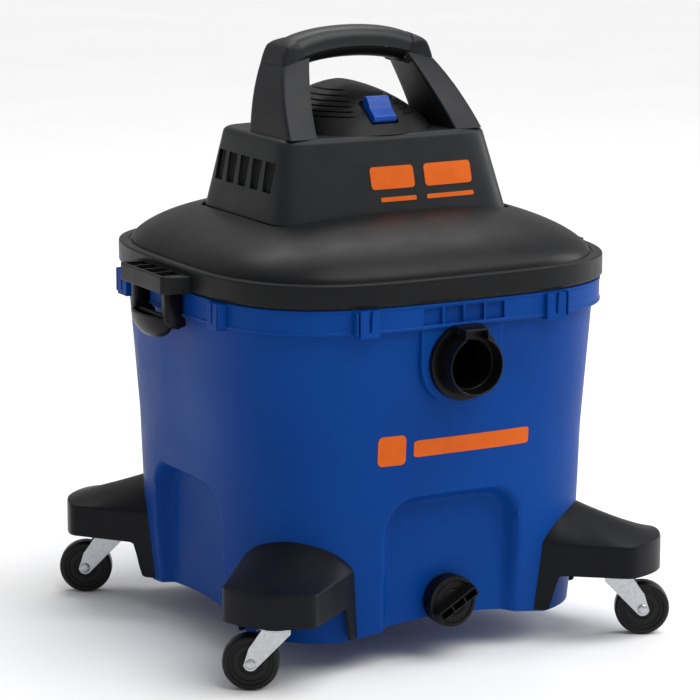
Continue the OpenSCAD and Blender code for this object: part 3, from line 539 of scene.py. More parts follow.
ALLOY = Finish("pressed_alloy", "alloy", (0.54, 0.55, 0.57), (0.68, 0.69, 0.71), (0.28, 0.42), scale=50.0,
               relief=0.10, metallic=1.0)
FLOOR_WHITE = Finish("studio_floor_paper", "", (0.86, 0.86, 0.86), (0.88, 0.88, 0.88), (0.70, 0.80),
                     scale=2.0, grain=300.0, relief=0.02, unevenness=0.0)


def carried(finish: Finish, *nodes: str) -> None:
    """Dresses frame nodes that are shown as they are, and reports them."""
    for node in nodes:
        finish.dress(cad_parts[node])
        LOG.info("node %s keeps its shape, in %s", node, finish.name)


def fitted(piece: MeshObject, finish: Finish, body: str, *nodes: str) -> MeshObject:
    """Dresses a new piece, mounts it on its body and lets it stand for frame nodes.

    Args:
        piece: the finished piece
        finish: its surface
        body: the body that carries it
        nodes: the frame nodes it stands for

    Returns:
        The piece.
    """
    finish.dress(piece)
    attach(piece, body)
    if nodes:
        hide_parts(*nodes)
    LOG.info("%s: %d faces, on %s", piece.name, len(piece.data.polygons), body)
    return piece


# ---------------------------------------------------------------------------------------------------- tank


@dataclass
class Tank:
    """The blue tank, its rim band, the inlet boss and the drain's spout."""

    top: float = 0.418
    base: float = 0.034
    wall: float = 0.003
    square: float = 3.5
    band_low: float = 0.390
    floor_top: float = 0.057
    floor_low: float = 0.053
    arch_radius: float = 0.610
    arch_top: float = 0.049
    recess_half: float = 0.088
    recess_top: float = 0.198
    recess_face: float = 0.205
    recess_corner: float = 0.042
    recess_edge: float = 0.013
    boss_half: float = 0.052
    boss_low: float = 0.298
    boss_face: float = 0.243
    inlet_z: float = 0.349
    drain_z: float = 0.069
    columns: int = 360
    halves: tuple[tuple[float, float], ...] = (
        (0.034, 0.218), (0.114, 0.225), (0.243, 0.229), (0.390, 0.239), (0.418, 0.240))

    def hollow(self, lateral: float, z: float, inset: float) -> float:
        """How far a point is inside the outline of a side's recess, from 0 at its edge to 1 on its face."""
        across = self.recess_half + inset - abs(lateral)
        down = self.recess_top + inset - z
        inside = min(across, down)
        corner = self.recess_corner
        if across < corner and down < corner:
            inside = corner - math.hypot(corner - across, corner - down)
        return ease(inside / self.recess_edge)

    def skin_point(self, angle: float, z: float, inset: float = 0.0) -> Point:
        """Point of the tank's wall, pressed in where its sides have a recess."""
        half = along(self.halves, z) - inset
        x, y = squircle(angle, half, half, self.square)
        face = self.recess_face - inset
        if abs(y) >= abs(x):
            y = math.copysign(mix(abs(y), min(abs(y), face), self.hollow(x, z, inset)), y)
        else:
            x = math.copysign(mix(abs(x), min(abs(x), face), self.hollow(y, z, inset)), x)
        return x, y, z

    def lower_edge(self, angle: float) -> float:
        """Height of the tank's lower edge, which arches up along each side."""
        x, y = squircle(angle, self.halves[0][1], self.halves[0][1], self.square)
        rise = [self.arch_top - self.arch_radius + math.sqrt(self.arch_radius ** 2 - p * p) for p in (x, y)]
        return max(self.base, *rise)

    def shell(self) -> MeshObject:
        """Skirt, wall, rim and floor as one closed moulding, with a hole for the inlet."""
        outside, inside, skirt = 92, 40, 6

        def wall_ring(share: float, inset: float = 0.0) -> Ring:
            """Ring on the wall, at a share of its height."""
            return lambda a: self.skin_point(a, mix(self.lower_edge(a), self.band_low + 0.001, share), inset)

        def level_ring(z: float, inset: float) -> Ring:
            """Level ring on the wall."""
            return lambda a: self.skin_point(a, z, inset)

        def floor_ring(share: float, z: float) -> Ring:
            """Ring of the floor, drawn in to a share."""
            def rule(angle: float) -> Point:
                """Point of the ring at an angle."""
                x, y, _ = self.skin_point(angle, z, 2 * self.wall)
                return x * share, y * share, z
            return rule

        def skirt_ring(share: float) -> Ring:
            """Ring inside the skirt under the floor."""
            def rule(angle: float) -> Point:
                """Point of the ring at an angle."""
                z = mix(self.floor_low, self.lower_edge(angle), share)
                return self.skin_point(angle, z, self.wall)
            return rule

        rim_z = self.top - 0.0008
        rings = [floor_ring(share, self.floor_low) for share in (0.02, 0.5, 0.97)]
        rings += [skirt_ring(i / skirt) for i in range(skirt + 1)]
        rings += [wall_ring(i / outside) for i in range(outside + 1)]
        rings += [level_ring(rim_z, 0.0004), level_ring(self.top, 0.0012), level_ring(rim_z, self.wall)]
        down = [mix(rim_z, self.floor_top + 0.005, i / inside) for i in range(1, inside + 1)]
        rings += [level_ring(z, self.wall) for z in down]
        rings += [level_ring(self.floor_top + 0.0015, self.wall + 0.0015)]
        rings += [floor_ring(share, self.floor_top) for share in (0.985, 0.5, 0.02)]
        shell = skin("tank_shell", self.columns, rings)
        hole = turned("tool", [(0.0338, 0.0), (0.0338, 0.1)], 96, facing_front(-0.17, self.inlet_z))
        cut(shell, hole)
        return smooth(shell, 50)

    def boss(self) -> MeshObject:
        """Flat panel round the inlet, with a round lower end and softened edges."""
        low = self.boss_low + self.boss_half
        outline = [(self.boss_half, self.band_low + 0.004), (-self.boss_half, self.band_low + 0.004)]
        outline += round_corner((0, low), self.boss_half, 180, 360, 48)
        plate = sheet_metal("inlet_boss", outline, self.boss_face - 0.218, facing_front(-0.218, 0))
        hole = turned("tool", [(0.0338, 0.0), (0.0338, 0.1)], 96, facing_front(-0.20, self.inlet_z))
        return smooth(soften(cut(plate, hole), 0.0018, 3, 50), 40)

    def spout(self) -> MeshObject:
        """Threaded drain spout in the front recess."""
        thread = []
        for i in range(9):
            thread += [(0.0168, 0.001 + i * 0.0016), (0.0178, 0.0018 + i * 0.0016)]
        profile = [(0.012, 0.0), (0.012, 0.0158), (0.0166, 0.0158), *reversed(thread),
                   (0.0205, 0.0), (0.0205, -0.002), (0.012, -0.002)]
        return turned("drain_spout", profile, 64, facing_front(-self.recess_face, self.drain_z), Ends.JOINED)

    def build(self) -> None:
        """Makes, dresses and mounts the tank's pieces."""
        fitted(self.shell(), TANK_BLUE, "tank_base", "tank")
        fitted(self.boss(), TANK_BLUE, "tank_base")
        fitted(smooth(self.spout()), TANK_BLUE, "tank_base")
        carried(FITTING_BLACK, "inlet_deflector")
        carried(SEAL_RUBBER, "inlet_gasket", "drain_gasket")


@dataclass
class RimBand:
    """The band round the top of the tank, with its open pockets, clip plates and latch catches."""

    tank: Tank
    half: float = 0.247
    pocket: float = 0.0235
    pocket_pitch: float = 0.0265
    pocket_low: float = 0.3945
    pocket_high: float = 0.4135
    clip_at: float = 0.119
    clip_half: float = 0.0125
    clip_low: float = 0.3865
    catch_x: float = 0.257
    catch_half: float = 0.025

    def ring(self) -> MeshObject:
        """The band itself: a lip above and below a flat face."""
        z, top = self.tank.band_low, self.tank.top
        inner = self.tank.halves[-1][1] - 0.0012
        profile = (
            (inner, z + 0.003), (self.half - 0.0025, z - 0.0004), (self.half - 0.0005, z),
            (self.half, z + 0.0008), (self.half, z + 0.0028), (self.half - 0.0007, z + 0.0036),
            (self.half - 0.0007, top - 0.0036), (self.half, top - 0.0028), (self.half, top - 0.0008),
            (self.half - 0.0008, top), (inner, top), (inner, top - 0.004))

        def level(half: float, height: float) -> Ring:
            """Ring at one level."""
            return lambda a: (*squircle(a, half, half, self.tank.square), height)

        band = skin("tank_rim_band", 256, [level(*p) for p in profile], Ends.JOINED)
        for i in range(4):
            x = (i - 1.5) * self.pocket_pitch
            cut(band, block("tool", (x - self.pocket / 2, -0.26, self.pocket_low),
                            (x + self.pocket / 2, -0.2415, self.pocket_high)))
        return smooth(band, 30)

    def clip(self) -> MeshObject:
        """A clip plate at the front right: a block with a slot that narrows downwards."""
        low, high = self.clip_at - self.clip_half, self.clip_at + self.clip_half
        face = -self.half - 0.0012
        plate = block("clip", (low, face, self.clip_low), (high, -self.half + 0.012, self.tank.top - 0.0012))
        slot = [(-0.0028, self.tank.top + 0.002), (-0.0011, self.clip_low + 0.0075),
                *round_corner((0, self.clip_low + 0.0075), 0.0011, 180, 360, 6)[1:-1],
                (0.0011, self.clip_low + 0.0075), (0.0028, self.tank.top + 0.002)]
        cut(plate, sheet_metal("tool", slot, 0.008, facing_front(face + 0.004, 0, self.clip_at)))
        soften(plate, 0.0012, 2)
        rib = block("rib", (high + 0.0022, face + 0.0004, self.clip_low + 0.003),
                    (high + 0.0045, -self.half + 0.01, self.tank.top - 0.0012))
        return join("clip", plate, soften(rib, 0.0008, 2))

    def clips(self) -> MeshObject:
        """Two clip plates on each side of the tank."""
        model = self.clip()
        made = []
        for quarter in range(4):
            turn = Matrix.Rotation(quarter * math.pi / 2, 4, "Z")
            for side in (-1, 1):
                made.append(copied(model, "clip", turn @ facing_side(side)))
        bpy.data.objects.remove(model)
        return smooth(join("tank_rim_clips", *made), 40)

    def catches(self) -> MeshObject:
        """The tabs that the latches hook under, with a stepped lower lip."""
        tab = block("catch", (self.half - 0.006, -self.catch_half, 0.3925),
                    (self.catch_x - 0.0012, self.catch_half, self.tank.top - 0.0005))
        lip = block("lip", (self.half - 0.006, -self.catch_half, 0.3925),
                    (self.catch_x, self.catch_half, 0.3975))
        tab = soften(join("catch", tab, lip), 0.001, 2)
        return smooth(join("latch_catches", tab, copied(tab, "catch", facing_side(-1))), 40)

    def build(self) -> None:
        """Makes, dresses and mounts the band's pieces."""
        for piece in (self.ring(), self.clips(), self.catches()):
            fitted(piece, TANK_BLUE, "tank_base")


@dataclass
class Inlet:
    """The hose inlet: a flange on the boss, a round tube with a key lug on top, and an inner step."""

    z: float = 0.349
    face: float = 0.243
    mouth: float = 0.275
    inner: float = 0.222
    tube_r: float = 0.0335
    bore_r: float = 0.0315
    flange_r: float = 0.043
    flange_h: float = 0.007
    lug_half: float = 0.015
    lug_top: float = 0.0415
    step_r: float = 0.0275
    step: float = 0.258

    def outline(self, angle: float, radius: float, lug_half: float, lug_top: float) -> tuple[float, float]:
        """Point of the tube's outline, which rises over the key lug."""
        c, s = math.cos(angle), math.sin(angle)
        reach = radius
        if s > 0:
            reach = max(radius, min(lug_top / s, lug_half / max(abs(c), 1e-6)))
        return reach * c, reach * s

    def ring(self, y: float, shrink: float) -> Ring:
        """Ring of the tube and its lug, at a distance in front of the centre."""
        def rule(angle: float) -> Point:
            """Point of the ring at an angle."""
            x, z = self.outline(angle, self.tube_r - shrink, self.lug_half - shrink, self.lug_top - shrink)
            return x, -y, self.z + z
        return rule

    def tube(self) -> MeshObject:
        """The tube with its lug, a thin wall at the mouth and the step inside."""
        wall = self.tube_r - self.bore_r
        deep = self.step + 0.002

        def bore(y: float, radius: float) -> Ring:
            """Round ring of the bore."""
            return lambda a: (radius * math.cos(a), -y, self.z + radius * math.sin(a))

        rings = [bore(self.inner, self.tube_r), self.ring(self.face + 0.002, 0.0)]
        rings += [self.ring(self.mouth - back, shrink) for back, shrink in (
            (0.0006, 0.0), (0.0, 0.0006), (0.0, wall - 0.0005), (0.0005, wall))]
        rings += [self.ring(deep, wall), bore(deep, self.step_r + 0.0006), bore(deep - 0.0006, self.step_r),
                  bore(self.inner, self.step_r)]
        return smooth(skin("inlet_tube", 144, rings, Ends.JOINED), 40)

    def flange(self) -> MeshObject:
        """Round flange with a flat top under the rim band, and a small tab behind the lug."""
        place = facing_front(-self.face, self.z)
        top = 0.0407

        def ring(radius: float, height: float) -> Ring:
            """Ring of the profile."""
            def rule(angle: float) -> Point:
                """Point of the ring at an angle."""
                x, y = radius * math.cos(angle), radius * math.sin(angle)
                return tuple(place @ Vector((x, min(y, top), height)))
            return rule

        profile = [(self.tube_r - 0.001, 0.0), (self.flange_r, 0.0), (self.flange_r, self.flange_h - 0.0016),
                   (self.flange_r - 0.0005, self.flange_h - 0.0005), (self.flange_r - 0.0016, self.flange_h),
                   (self.tube_r + 0.0030, self.flange_h), (self.tube_r + 0.0012, self.flange_h - 0.0008),
                   (self.tube_r - 0.001, self.flange_h - 0.0008)]
        disc = smooth(skin("inlet_flange", 144, [ring(*p) for p in profile], Ends.JOINED), 30)
        tab = block("tab", (-0.0168, -self.mouth + 0.012, self.z + self.lug_top - 0.006),
                    (0.0168, -self.face - 0.0045, self.z + self.lug_top + 0.0016))
        return join("inlet_flange", disc, smooth(soften(tab, 0.0009, 2), 35))

    def build(self) -> None:
        """Makes, dresses and mounts the inlet."""
        fitted(self.tube(), FITTING_BLACK, "tank_base", "inlet_port")
        fitted(self.flange(), FITTING_BLACK, "tank_base")


@dataclass
class DrainCap:
    """The drain's screw cap: a ribbed disc with a raised grip bar across it."""

    z: float = 0.069
    back: float = 0.2065
    radius: float = 0.030
    depth: float = 0.020
    ribs: int = 56
    bar_half: float = 0.029
    bar_width: float = 0.013
    bar_rise: float = 0.013
    tilt: float = 30.0

    def disc(self) -> MeshObject:
        """The cap with a ribbed side, a rolled edge and rings on its face."""
        place = facing_front(-self.back, self.z)

        def ring(radius: float, height: float, rib: float = 0.0) -> Ring:
            """Ring of the profile."""
            def rule(angle: float) -> Point:
                """Point of the ring at an angle."""
                r = radius - rib * (0.5 - 0.5 * math.cos(self.ribs * angle))
                return tuple(place @ Vector((r * math.cos(angle), r * math.sin(angle), height)))
            return rule

        r, h = self.radius, self.depth
        profile = (
            (0.0184, 0.0), (r - 0.0022, 0.0), (r - 0.0010, 0.0008), (r - 0.0008, 0.0012, 0.0010),
            (r - 0.0004, 0.0100, 0.0010), (r - 0.0006, 0.0112), (r, 0.0118), (r, h - 0.0016),
            (r - 0.0006, h - 0.0004), (r - 0.0018, h), (r - 0.0045, h), (r - 0.0052, h - 0.0012),
            (r - 0.0066, h - 0.0012), (r - 0.0074, h), (0.016, h), (0.0152, h - 0.0010), (0.0138, h - 0.0010),
            (0.0130, h), (0.0004, h), (0.0004, 0.0165), (0.0175, 0.0165), (0.0184, 0.0155))
        return smooth(skin("drain_cap_disc", 448, [ring(*point) for point in profile], Ends.JOINED), 30)

    def bar(self) -> MeshObject:
        """Grip bar with three open pockets in its face."""
        low = self.depth - 0.0008
        bar = block("bar", (-self.bar_half, -self.bar_width / 2, low),
                    (self.bar_half, self.bar_width / 2, self.depth + self.bar_rise))
        edit(bar, Pick.VERTS, lambda p: p.z > self.depth)
        bpy.ops.transform.resize(value=(0.965, 0.86, 1), center_override=(0, 0, self.depth))
        leave()
        soften(bar, 0.0016, 3)
        for i in (-1, 0, 1):
            cut(bar, block("tool", (i * 0.0175 - 0.0078, -0.0040, self.depth + 0.0035),
                           (i * 0.0175 + 0.0078, 0.0040, self.depth + self.bar_rise + 0.01)))
        smooth(bar, 35)
        turn = Matrix.Rotation(math.radians(self.tilt), 4, "Z")
        return moved(bar, facing_front(-self.back, self.z) @ turn)

    def build(self) -> None:
        """Makes, dresses and mounts the cap."""
        fitted(join("drain_knob_cap", self.disc(), self.bar()), FITTING_BLACK, "drain_knob", "drain_cap")


# ---------------------------------------------------------------------------------------- feet and casters


def corner_frame(corner: str) -> Matrix:
    """Frame of a corner of the tank: +X out along its diagonal and +Z up."""
    x = 1 if "right" in corner else -1
    y = 1 if "back" in corner else -1
    return Matrix.Rotation(math.atan2(y, x), 4, "Z")


@dataclass
class Foot:
    """A caster foot: crisp side walls, a rounded tip, and a ridge that swells up towards the tank."""

    tank: Tank
    swivel: float = 0.316
    under: float = 0.081
    leg_low: float = 0.040
    leg_in: float = 0.247
    leg_out: float = 0.262
    side: float = 0.1175
    ridge: float = 0.157
    ridge_from: float = 0.253
    root: float = 0.196
    corner: float = 0.344
    bulge: float = 0.020
    tip_half: float = 0.054
    root_half: float = 0.069
    root_at: float = 0.222
    crown: float = 0.262
    socket_top: float = 0.128
    wall: float = 0.0035

    def half_width(self, u: float) -> float:
        """Half width of the foot at a distance along its diagonal."""
        return mix(self.root_half, self.tip_half, (u - self.root_at) / (self.corner - self.root_at))

    def plan(self, angle: float) -> tuple[float, float]:
        """Point of the foot's outline seen from above: square corners, eased, and a bowed tip."""
        middle = 0.5 * (self.root + self.corner + self.bulge)
        reach = middle - self.root
        x, y = squircle(angle, 1.0, 1.0, 22, 0.8)
        u = middle + x * reach
        if x > 0:
            u -= self.bulge * (min(abs(y), 1.0) ** 2) * ease((x - 0.55) / 0.45)
        return u, y * self.half_width(u)

    def low_edge(self, u: float) -> float:
        """Height of the foot's lower edge."""
        return mix(self.leg_low, self.under, ease((u - self.leg_in) / (self.leg_out - self.leg_in)))

    def crest(self, u: float) -> float:
        """Height of the ridge at a distance along the diagonal."""
        tip = self.corner + self.bulge
        share = clamp((u - self.ridge_from) / (tip - self.ridge_from))
        return mix(self.ridge, self.side + 0.0015, share ** 0.9)

    def roof(self, u: float, v: float) -> float:
        """Height of the roof at a point."""
        share = clamp(abs(v) / self.half_width(u))
        near = clamp((u - 0.235) / 0.11)
        curve = mix((1 - share ** 2.0) ** 0.72, 1 - share ** 1.6, near)
        return self.side + (self.crest(u) - self.side) * curve

    def skin_shape(self) -> MeshObject:
        """Open shell of the foot in its corner frame, before it is made thick and let into the tank."""
        def wall(share: float) -> Ring:
            """Ring on the side wall, at a share of its height."""
            def rule(angle: float) -> Point:
                """Point of the ring at an angle."""
                u, v = self.plan(angle)
                return u, v, mix(self.low_edge(u), self.side - 0.0012, share)
            return rule

        def top(scale: float, lift: float = 0.0) -> Ring:
            """Ring on the roof, drawn in to a scale."""
            def rule(angle: float) -> Point:
                """Point of the ring at an angle."""
                u, v = self.plan(angle)
                u, v = mix(self.crown, u, scale), v * scale
                return u, v, self.roof(u, v) + lift
            return rule

        rings = [wall(i / 8) for i in range(9)]
        rings += [top(0.992, -0.0003), top(0.982)]
        rings += [top(mix(0.982, 0.015, i / 26)) for i in range(1, 27)]
        return skin("foot", 240, rings)

    def into_tank(self, obj: MeshObject) -> None:
        """Draws what lies inside the tank out to just under the tank's outer face."""
        turn = Matrix.Rotation(math.pi / 4, 4, "Z")
        for vert in obj.data.vertices:
            spot = turn @ vert.co
            if max(abs(spot.x), abs(spot.y)) < 1e-6:
                continue
            low, high = 0.15, 0.40
            for _ in range(18):
                middle = (low + high) / 2
                at = turn @ Vector((middle, vert.co.y, 0))
                half = along(self.tank.halves, vert.co.z) - 0.0015
                inside = abs(at.x / half) ** self.tank.square + abs(at.y / half) ** self.tank.square < 1
                low, high = (middle, high) if inside else (low, middle)
            vert.co.x = max(vert.co.x, low)

    def model(self) -> MeshObject:
        """One foot in its corner frame, with the caster's socket under it."""
        shell = self.skin_shape()
        edit(shell, Pick.FACES, lambda _middle: False)
        leave()
        for face in shell.data.polygons:
            face.select = len(face.vertices) > 100 and face.center.z < self.side
        bpy.ops.object.mode_set(mode="EDIT")
        bpy.ops.mesh.delete(type="ONLY_FACE")
        leave()
        modify(shell, "SOLIDIFY", thickness=self.wall, offset=-1, use_even_offset=True)
        self.into_tank(shell)
        smooth(shell, 32)
        profile = [(0.0075, self.under), (0.0118, self.under), (0.0130, self.under + 0.0012),
                   (0.0130, self.socket_top), (0.0075, self.socket_top)]
        socket = turned("socket", profile, 48, Matrix.Translation((self.swivel, 0, 0)), Ends.JOINED)
        return join("foot", shell, smooth(socket))

    def build(self) -> None:
        """Makes one foot and copies it to all four corners."""
        model = self.model()
        for corner in CORNERS:
            twin = copied(model, f"tank_foot_{corner}", corner_frame(corner))
            fitted(twin, FOOT_BLACK, "tank_base", f"foot_{corner}")
        bpy.data.objects.remove(model)


@dataclass
class Caster:
    """A swivel caster: pressed fork, riveted axle and a hard wheel with moulded rings."""

    swivel: float = 0.316
    trail: float = 0.028
    wheel_r: float = 0.03175
    wheel_half: float = 0.0105
    plate_r: float = 0.021
    plate_z: float = 0.070
    plate_h: float = 0.0025
    side_in: float = 0.0117
    side_t: float = 0.0020
    eye_r: float = 0.008
    axle_r: float = 0.0035
    head_r: float = 0.006

    def fork(self) -> MeshObject:
        """Pressed fork in the frame of its wheel: +X is the way it trails."""
        r, h = self.plate_r, self.plate_h
        profile = [(0.0052, 0.0), (r - 0.0008, 0.0), (r, 0.0006), (r, h - 0.0008), (r - 0.0010, h),
                   (0.0135, h), (0.0125, h + 0.0012), (0.0052, h + 0.0012)]
        plate = turned("fork", profile, 72, Matrix.Translation((0, 0, self.plate_z)), Ends.JOINED)
        return join("fork", smooth(plate, 30), self.cheek(-1), self.cheek(1))

    def cheek(self, side: int) -> MeshObject:
        """One side of the fork: a tapered sheet that ends in a round eye, drawn in a little at its top."""
        eye = (self.trail, self.wheel_r)
        high = self.plate_z + 0.0012
        outline = [(-0.0165, high), (-0.0160, high - 0.006)]
        outline += round_corner(eye, self.eye_r, 218, 352, 20)
        outline += [(self.trail + 0.002, 0.050), (0.0150, high)]
        near = self.side_in if side > 0 else -self.side_in - self.side_t
        place = Matrix(((1, 0, 0, 0), (0, 0, 1, near), (0, 1, 0, 0), (0, 0, 0, 1)))
        sheet = soften(sheet_metal("cheek", outline, self.side_t, place), 0.0006, 2)
        for vert in sheet.data.vertices:
            rise = clamp((vert.co.z - 0.060) / 0.010)
            vert.co.y = mix(vert.co.y, vert.co.y * 0.97, rise)
        return smooth(sheet, 35)

    def rivet(self) -> MeshObject:
        """Axle rivet with a domed head on each end."""
        reach = self.side_in + self.side_t
        head = [(0.0012, 0.0019), (0.0032, 0.0017), (0.0048, 0.0012), (self.head_r - 0.0003, 0.0005),
                (self.head_r, 0.0)]
        profile = [(r, -reach - h) for r, h in head]
        profile += [(self.axle_r, -reach + 0.0001), (self.axle_r, reach - 0.0001)]
        profile += [(r, reach + h) for r, h in reversed(head)]
        place = Matrix.Translation((self.trail, 0, self.wheel_r)) @ Matrix.Rotation(math.pi / 2, 4, "X")
        return smooth(turned("rivet", profile, 48, place), 40)

    def wheel(self) -> MeshObject:
        """Wheel with a rounded tread, a groove inside its rim, and a raised hub with rings."""
        r, w = self.wheel_r, self.wheel_half
        half = [(0.0037, w + 0.0006), (0.0064, w + 0.0006), (0.0071, w), (0.0092, w), (0.0098, w - 0.0014),
                (0.0118, w - 0.0017), (0.0124, w - 0.0008), (0.0136, w - 0.0008), (0.0142, w - 0.0017),
                (0.0196, w - 0.0017), (0.0203, w - 0.0008), (0.0216, w - 0.0008), (0.0222, w - 0.0015),
                (0.0246, w - 0.0015), (0.0254, w), (0.0278, w), (0.0296, w - 0.0006),
                (r - 0.0008, w - 0.0020), (r - 0.0002, w - 0.0038), (r, w - 0.006)]
        profile = [(rr, -h) for rr, h in half] + [(rr, h) for rr, h in reversed(half)]
        place = Matrix.Translation((self.trail, 0, self.wheel_r)) @ Matrix.Rotation(math.pi / 2, 4, "X")
        return smooth(turned("wheel", profile, 120, place, Ends.JOINED), 28)

    def build(self) -> None:
        """Makes one caster and copies it to all four corners."""
        fork, rivet, wheel = self.fork(), self.rivet(), self.wheel()
        for corner in CORNERS:
            centre = corner_frame(corner) @ Vector((self.swivel, 0, 0))
            heading = math.radians(151.5 if "left" in corner else -28.5)
            place = Matrix.Translation(centre) @ Matrix.Rotation(heading, 4, "Z")
            for model, part, finish, body, node in (
                    (fork, "fork", ZINC, "caster", "fork"), (rivet, "rivet", ZINC, "caster", "axle"),
                    (wheel, "wheel", WHEEL_BLACK, "roller", "wheel")):
                twin = copied(model, f"caster_{part}_{corner}", place)
                fitted(twin, finish, f"{body}_{corner}", f"{node}_{corner}")
            carried(ZINC, f"stem_{corner}")
        for model in (fork, rivet, wheel):
            bpy.data.objects.remove(model)


# ----------------------------------------------------------------------------------------------------- lid


@dataclass
class Lid:
    """The domed lid with its plug ring, the seat and well for the motor head, and a flat ledge round it."""

    square: float = 3.5
    rim_half: float = 0.249
    low: float = 0.421
    ledge: float = 0.446
    dome_half: float = 0.236
    rise: float = 0.058
    dome_power: float = 2.7
    dome_root: float = 1.5
    wall: float = 0.0035
    seat: float = 0.485
    seat_half_x: float = 0.153
    seat_half_y: float = 0.113
    seat_cy: float = 0.007
    seat_square: float = 8.0
    well_r: float = 0.092
    well_floor: float = 0.444
    well_low: float = 0.440
    hole_r: float = 0.036
    plug_half: float = 0.231
    plug_low: float = 0.405
    columns: int = 320

    def dome(self, x: float, y: float) -> float:
        """Height of the dome over a point."""
        share = (abs(x) ** self.square + abs(y) ** self.square) ** (1 / self.square) / self.dome_half
        return self.ledge + self.rise * max(1 - share ** self.dome_power, 0.0) ** (1 / self.dome_root)

    def level(self, half: float, z: float) -> Ring:
        """Ring with the lid's outline."""
        return lambda a: (*squircle(a, half, half, self.square), z)

    def on_dome(self, share: float, drop: float = 0.0) -> Ring:
        """Ring on the dome, at a share of its half width."""
        half = self.dome_half * share

        def rule(angle: float) -> Point:
            """Point of the ring at an angle."""
            x, y = squircle(angle, half, half, self.square)
            return x, y, self.dome(x, y) - drop
        return rule

    def footprint(self, angle: float, grow: float) -> tuple[float, float]:
        """Outline of the motor head's seat."""
        x, y = squircle(angle, self.seat_half_x + grow, self.seat_half_y + grow, self.seat_square)
        return x, y + self.seat_cy

    def seat_ring(self, grow: float, z: float | None = None, drop: float = 0.0) -> Ring:
        """Ring round the seat, at a height or on the dome."""
        def rule(angle: float) -> Point:
            """Point of the ring at an angle."""
            x, y = self.footprint(angle, grow)
            return x, y, (self.dome(x, y) if z is None else z) - drop
        return rule

    def between(self, share: float, drop: float = 0.0) -> Ring:
        """Ring on the dome between the seat and the start of the dome's own outline."""
        def rule(angle: float) -> Point:
            """Point of the ring at an angle."""
            sx, sy = self.footprint(angle, 0.0050)
            dx, dy = squircle(angle, self.dome_half * 0.82, self.dome_half * 0.82, self.square)
            x, y = mix(sx, dx, share), mix(sy, dy, share)
            return x, y, self.dome(x, y) - drop
        return rule

    def circle(self, radius: float, z: float) -> Ring:
        """Round ring of the well."""
        return lambda a: (radius * math.cos(a), radius * math.sin(a), z)

    def moulding(self) -> MeshObject:
        """The whole lid as one closed moulding."""
        rim, dome, plug, under = self.rim_half, self.dome_half, self.plug_half, self.well_r + self.wall
        ledge, low, deep = self.ledge, self.low, self.plug_low
        rings = [self.circle(*point) for point in (
            (self.hole_r, self.well_floor), (self.well_r - 0.003, self.well_floor),
            (self.well_r, self.well_floor + 0.003), (self.well_r, self.seat - 0.001),
            (self.well_r + 0.001, self.seat))]
        rings += [self.seat_ring(-0.010, self.seat), self.seat_ring(0.0020, self.seat),
                  self.seat_ring(0.0026, self.seat + 0.0008), self.seat_ring(0.0030, drop=0.0008),
                  self.seat_ring(0.0038)]
        rings += [self.between(i / 8) for i in range(9)]
        rings += [self.on_dome(s) for s in (0.85, 0.88, 0.905, 0.93, 0.95, 0.965, 0.978, 0.988, 0.995, 1.0)]
        rings += [self.level(*point) for point in (
            (dome + 0.0003, ledge - 0.0014), (dome + 0.0022, ledge - 0.0014), (dome + 0.0028, ledge - 0.0003),
            (dome + 0.0036, ledge), (rim - 0.0030, ledge), (rim - 0.0012, ledge - 0.0004),
            (rim - 0.0003, ledge - 0.0014), (rim, ledge - 0.003), (rim, low + 0.0012), (rim - 0.0008, low),
            (rim - 0.004, low), (plug + 0.001, low), (plug, low - 0.001), (plug, deep + 0.001),
            (plug - 0.001, deep), (plug - 0.002, deep), (plug - 0.003, deep + 0.001),
            (plug - 0.003, low + 0.004))]
        rings += [self.on_dome(s, self.wall) for s in (0.955, 0.93, 0.88, 0.82)]
        rings += [self.between(share, self.wall) for share in (0.66, 0.33, 0.0)]
        rings += [self.seat_ring(-0.002, self.seat - self.wall)]
        rings += [self.circle(*point) for point in (
            (under, self.seat - self.wall), (under, self.well_low + 0.002), (under - 0.002, self.well_low),
            (self.hole_r, self.well_low))]
        return smooth(skin("lid_dome", self.columns, rings, Ends.JOINED), 32)

    def build(self) -> None:
        """Makes, dresses and mounts the lid."""
        fitted(self.moulding(), LID_BLACK, "lid_head", "lid")
        carried(SEAL_RUBBER, "lid_seal")


@dataclass
class CarryingLedge:
    """The ledge over each latch: four deep pockets in its top, hollow below, with splayed ends."""

    inner: float = 0.2455
    outer: float = 0.279
    half: float = 0.063
    top: float = 0.438
    low: float = 0.418
    pocket_pitch: float = 0.0262
    rib: float = 0.0026
    depth: float = 0.0125
    chamfer: float = 0.010
    splay: float = 0.004
    pocket_in: float = 0.2515
    lip: float = 0.0035

    def model(self) -> MeshObject:
        """The ledge for the right side."""
        root = self.half + self.splay
        near = [(self.inner, root), (self.outer - self.chamfer * 0.8, self.half),
                (self.outer, self.half - self.chamfer)]
        outline = [(x, -y) for x, y in near] + near[::-1]
        ledge = sheet_metal("ledge", outline, self.top - self.low, Matrix.Translation((0, 0, self.low)))
        soften(ledge, 0.0016, 3, 30)
        for i in range(4):
            y = (i - 1.5) * self.pocket_pitch
            reach = (self.pocket_pitch - self.rib) / 2
            cut(ledge, block("tool", (self.pocket_in, y - reach, self.top - self.depth),
                             (self.outer - self.lip, y + reach, self.top + 0.062)))
        cut(ledge, block("tool", (self.pocket_in, -self.half + 0.006, self.low - 0.018),
                         (self.outer - self.lip, self.half - 0.006, self.low + 0.005)))
        return ledge

    def build(self) -> None:
        """Makes one ledge, copies it to the other side and mounts both."""
        model = self.model()
        for side, name in ((1, "right"), (-1, "left")):
            twin = copied(model, f"lid_ledge_{name}", facing_side(side))
            fitted(smooth(twin, 30), LID_BLACK, "lid_head")
        bpy.data.objects.remove(model)
        carried(ZINC, "latch_pins")


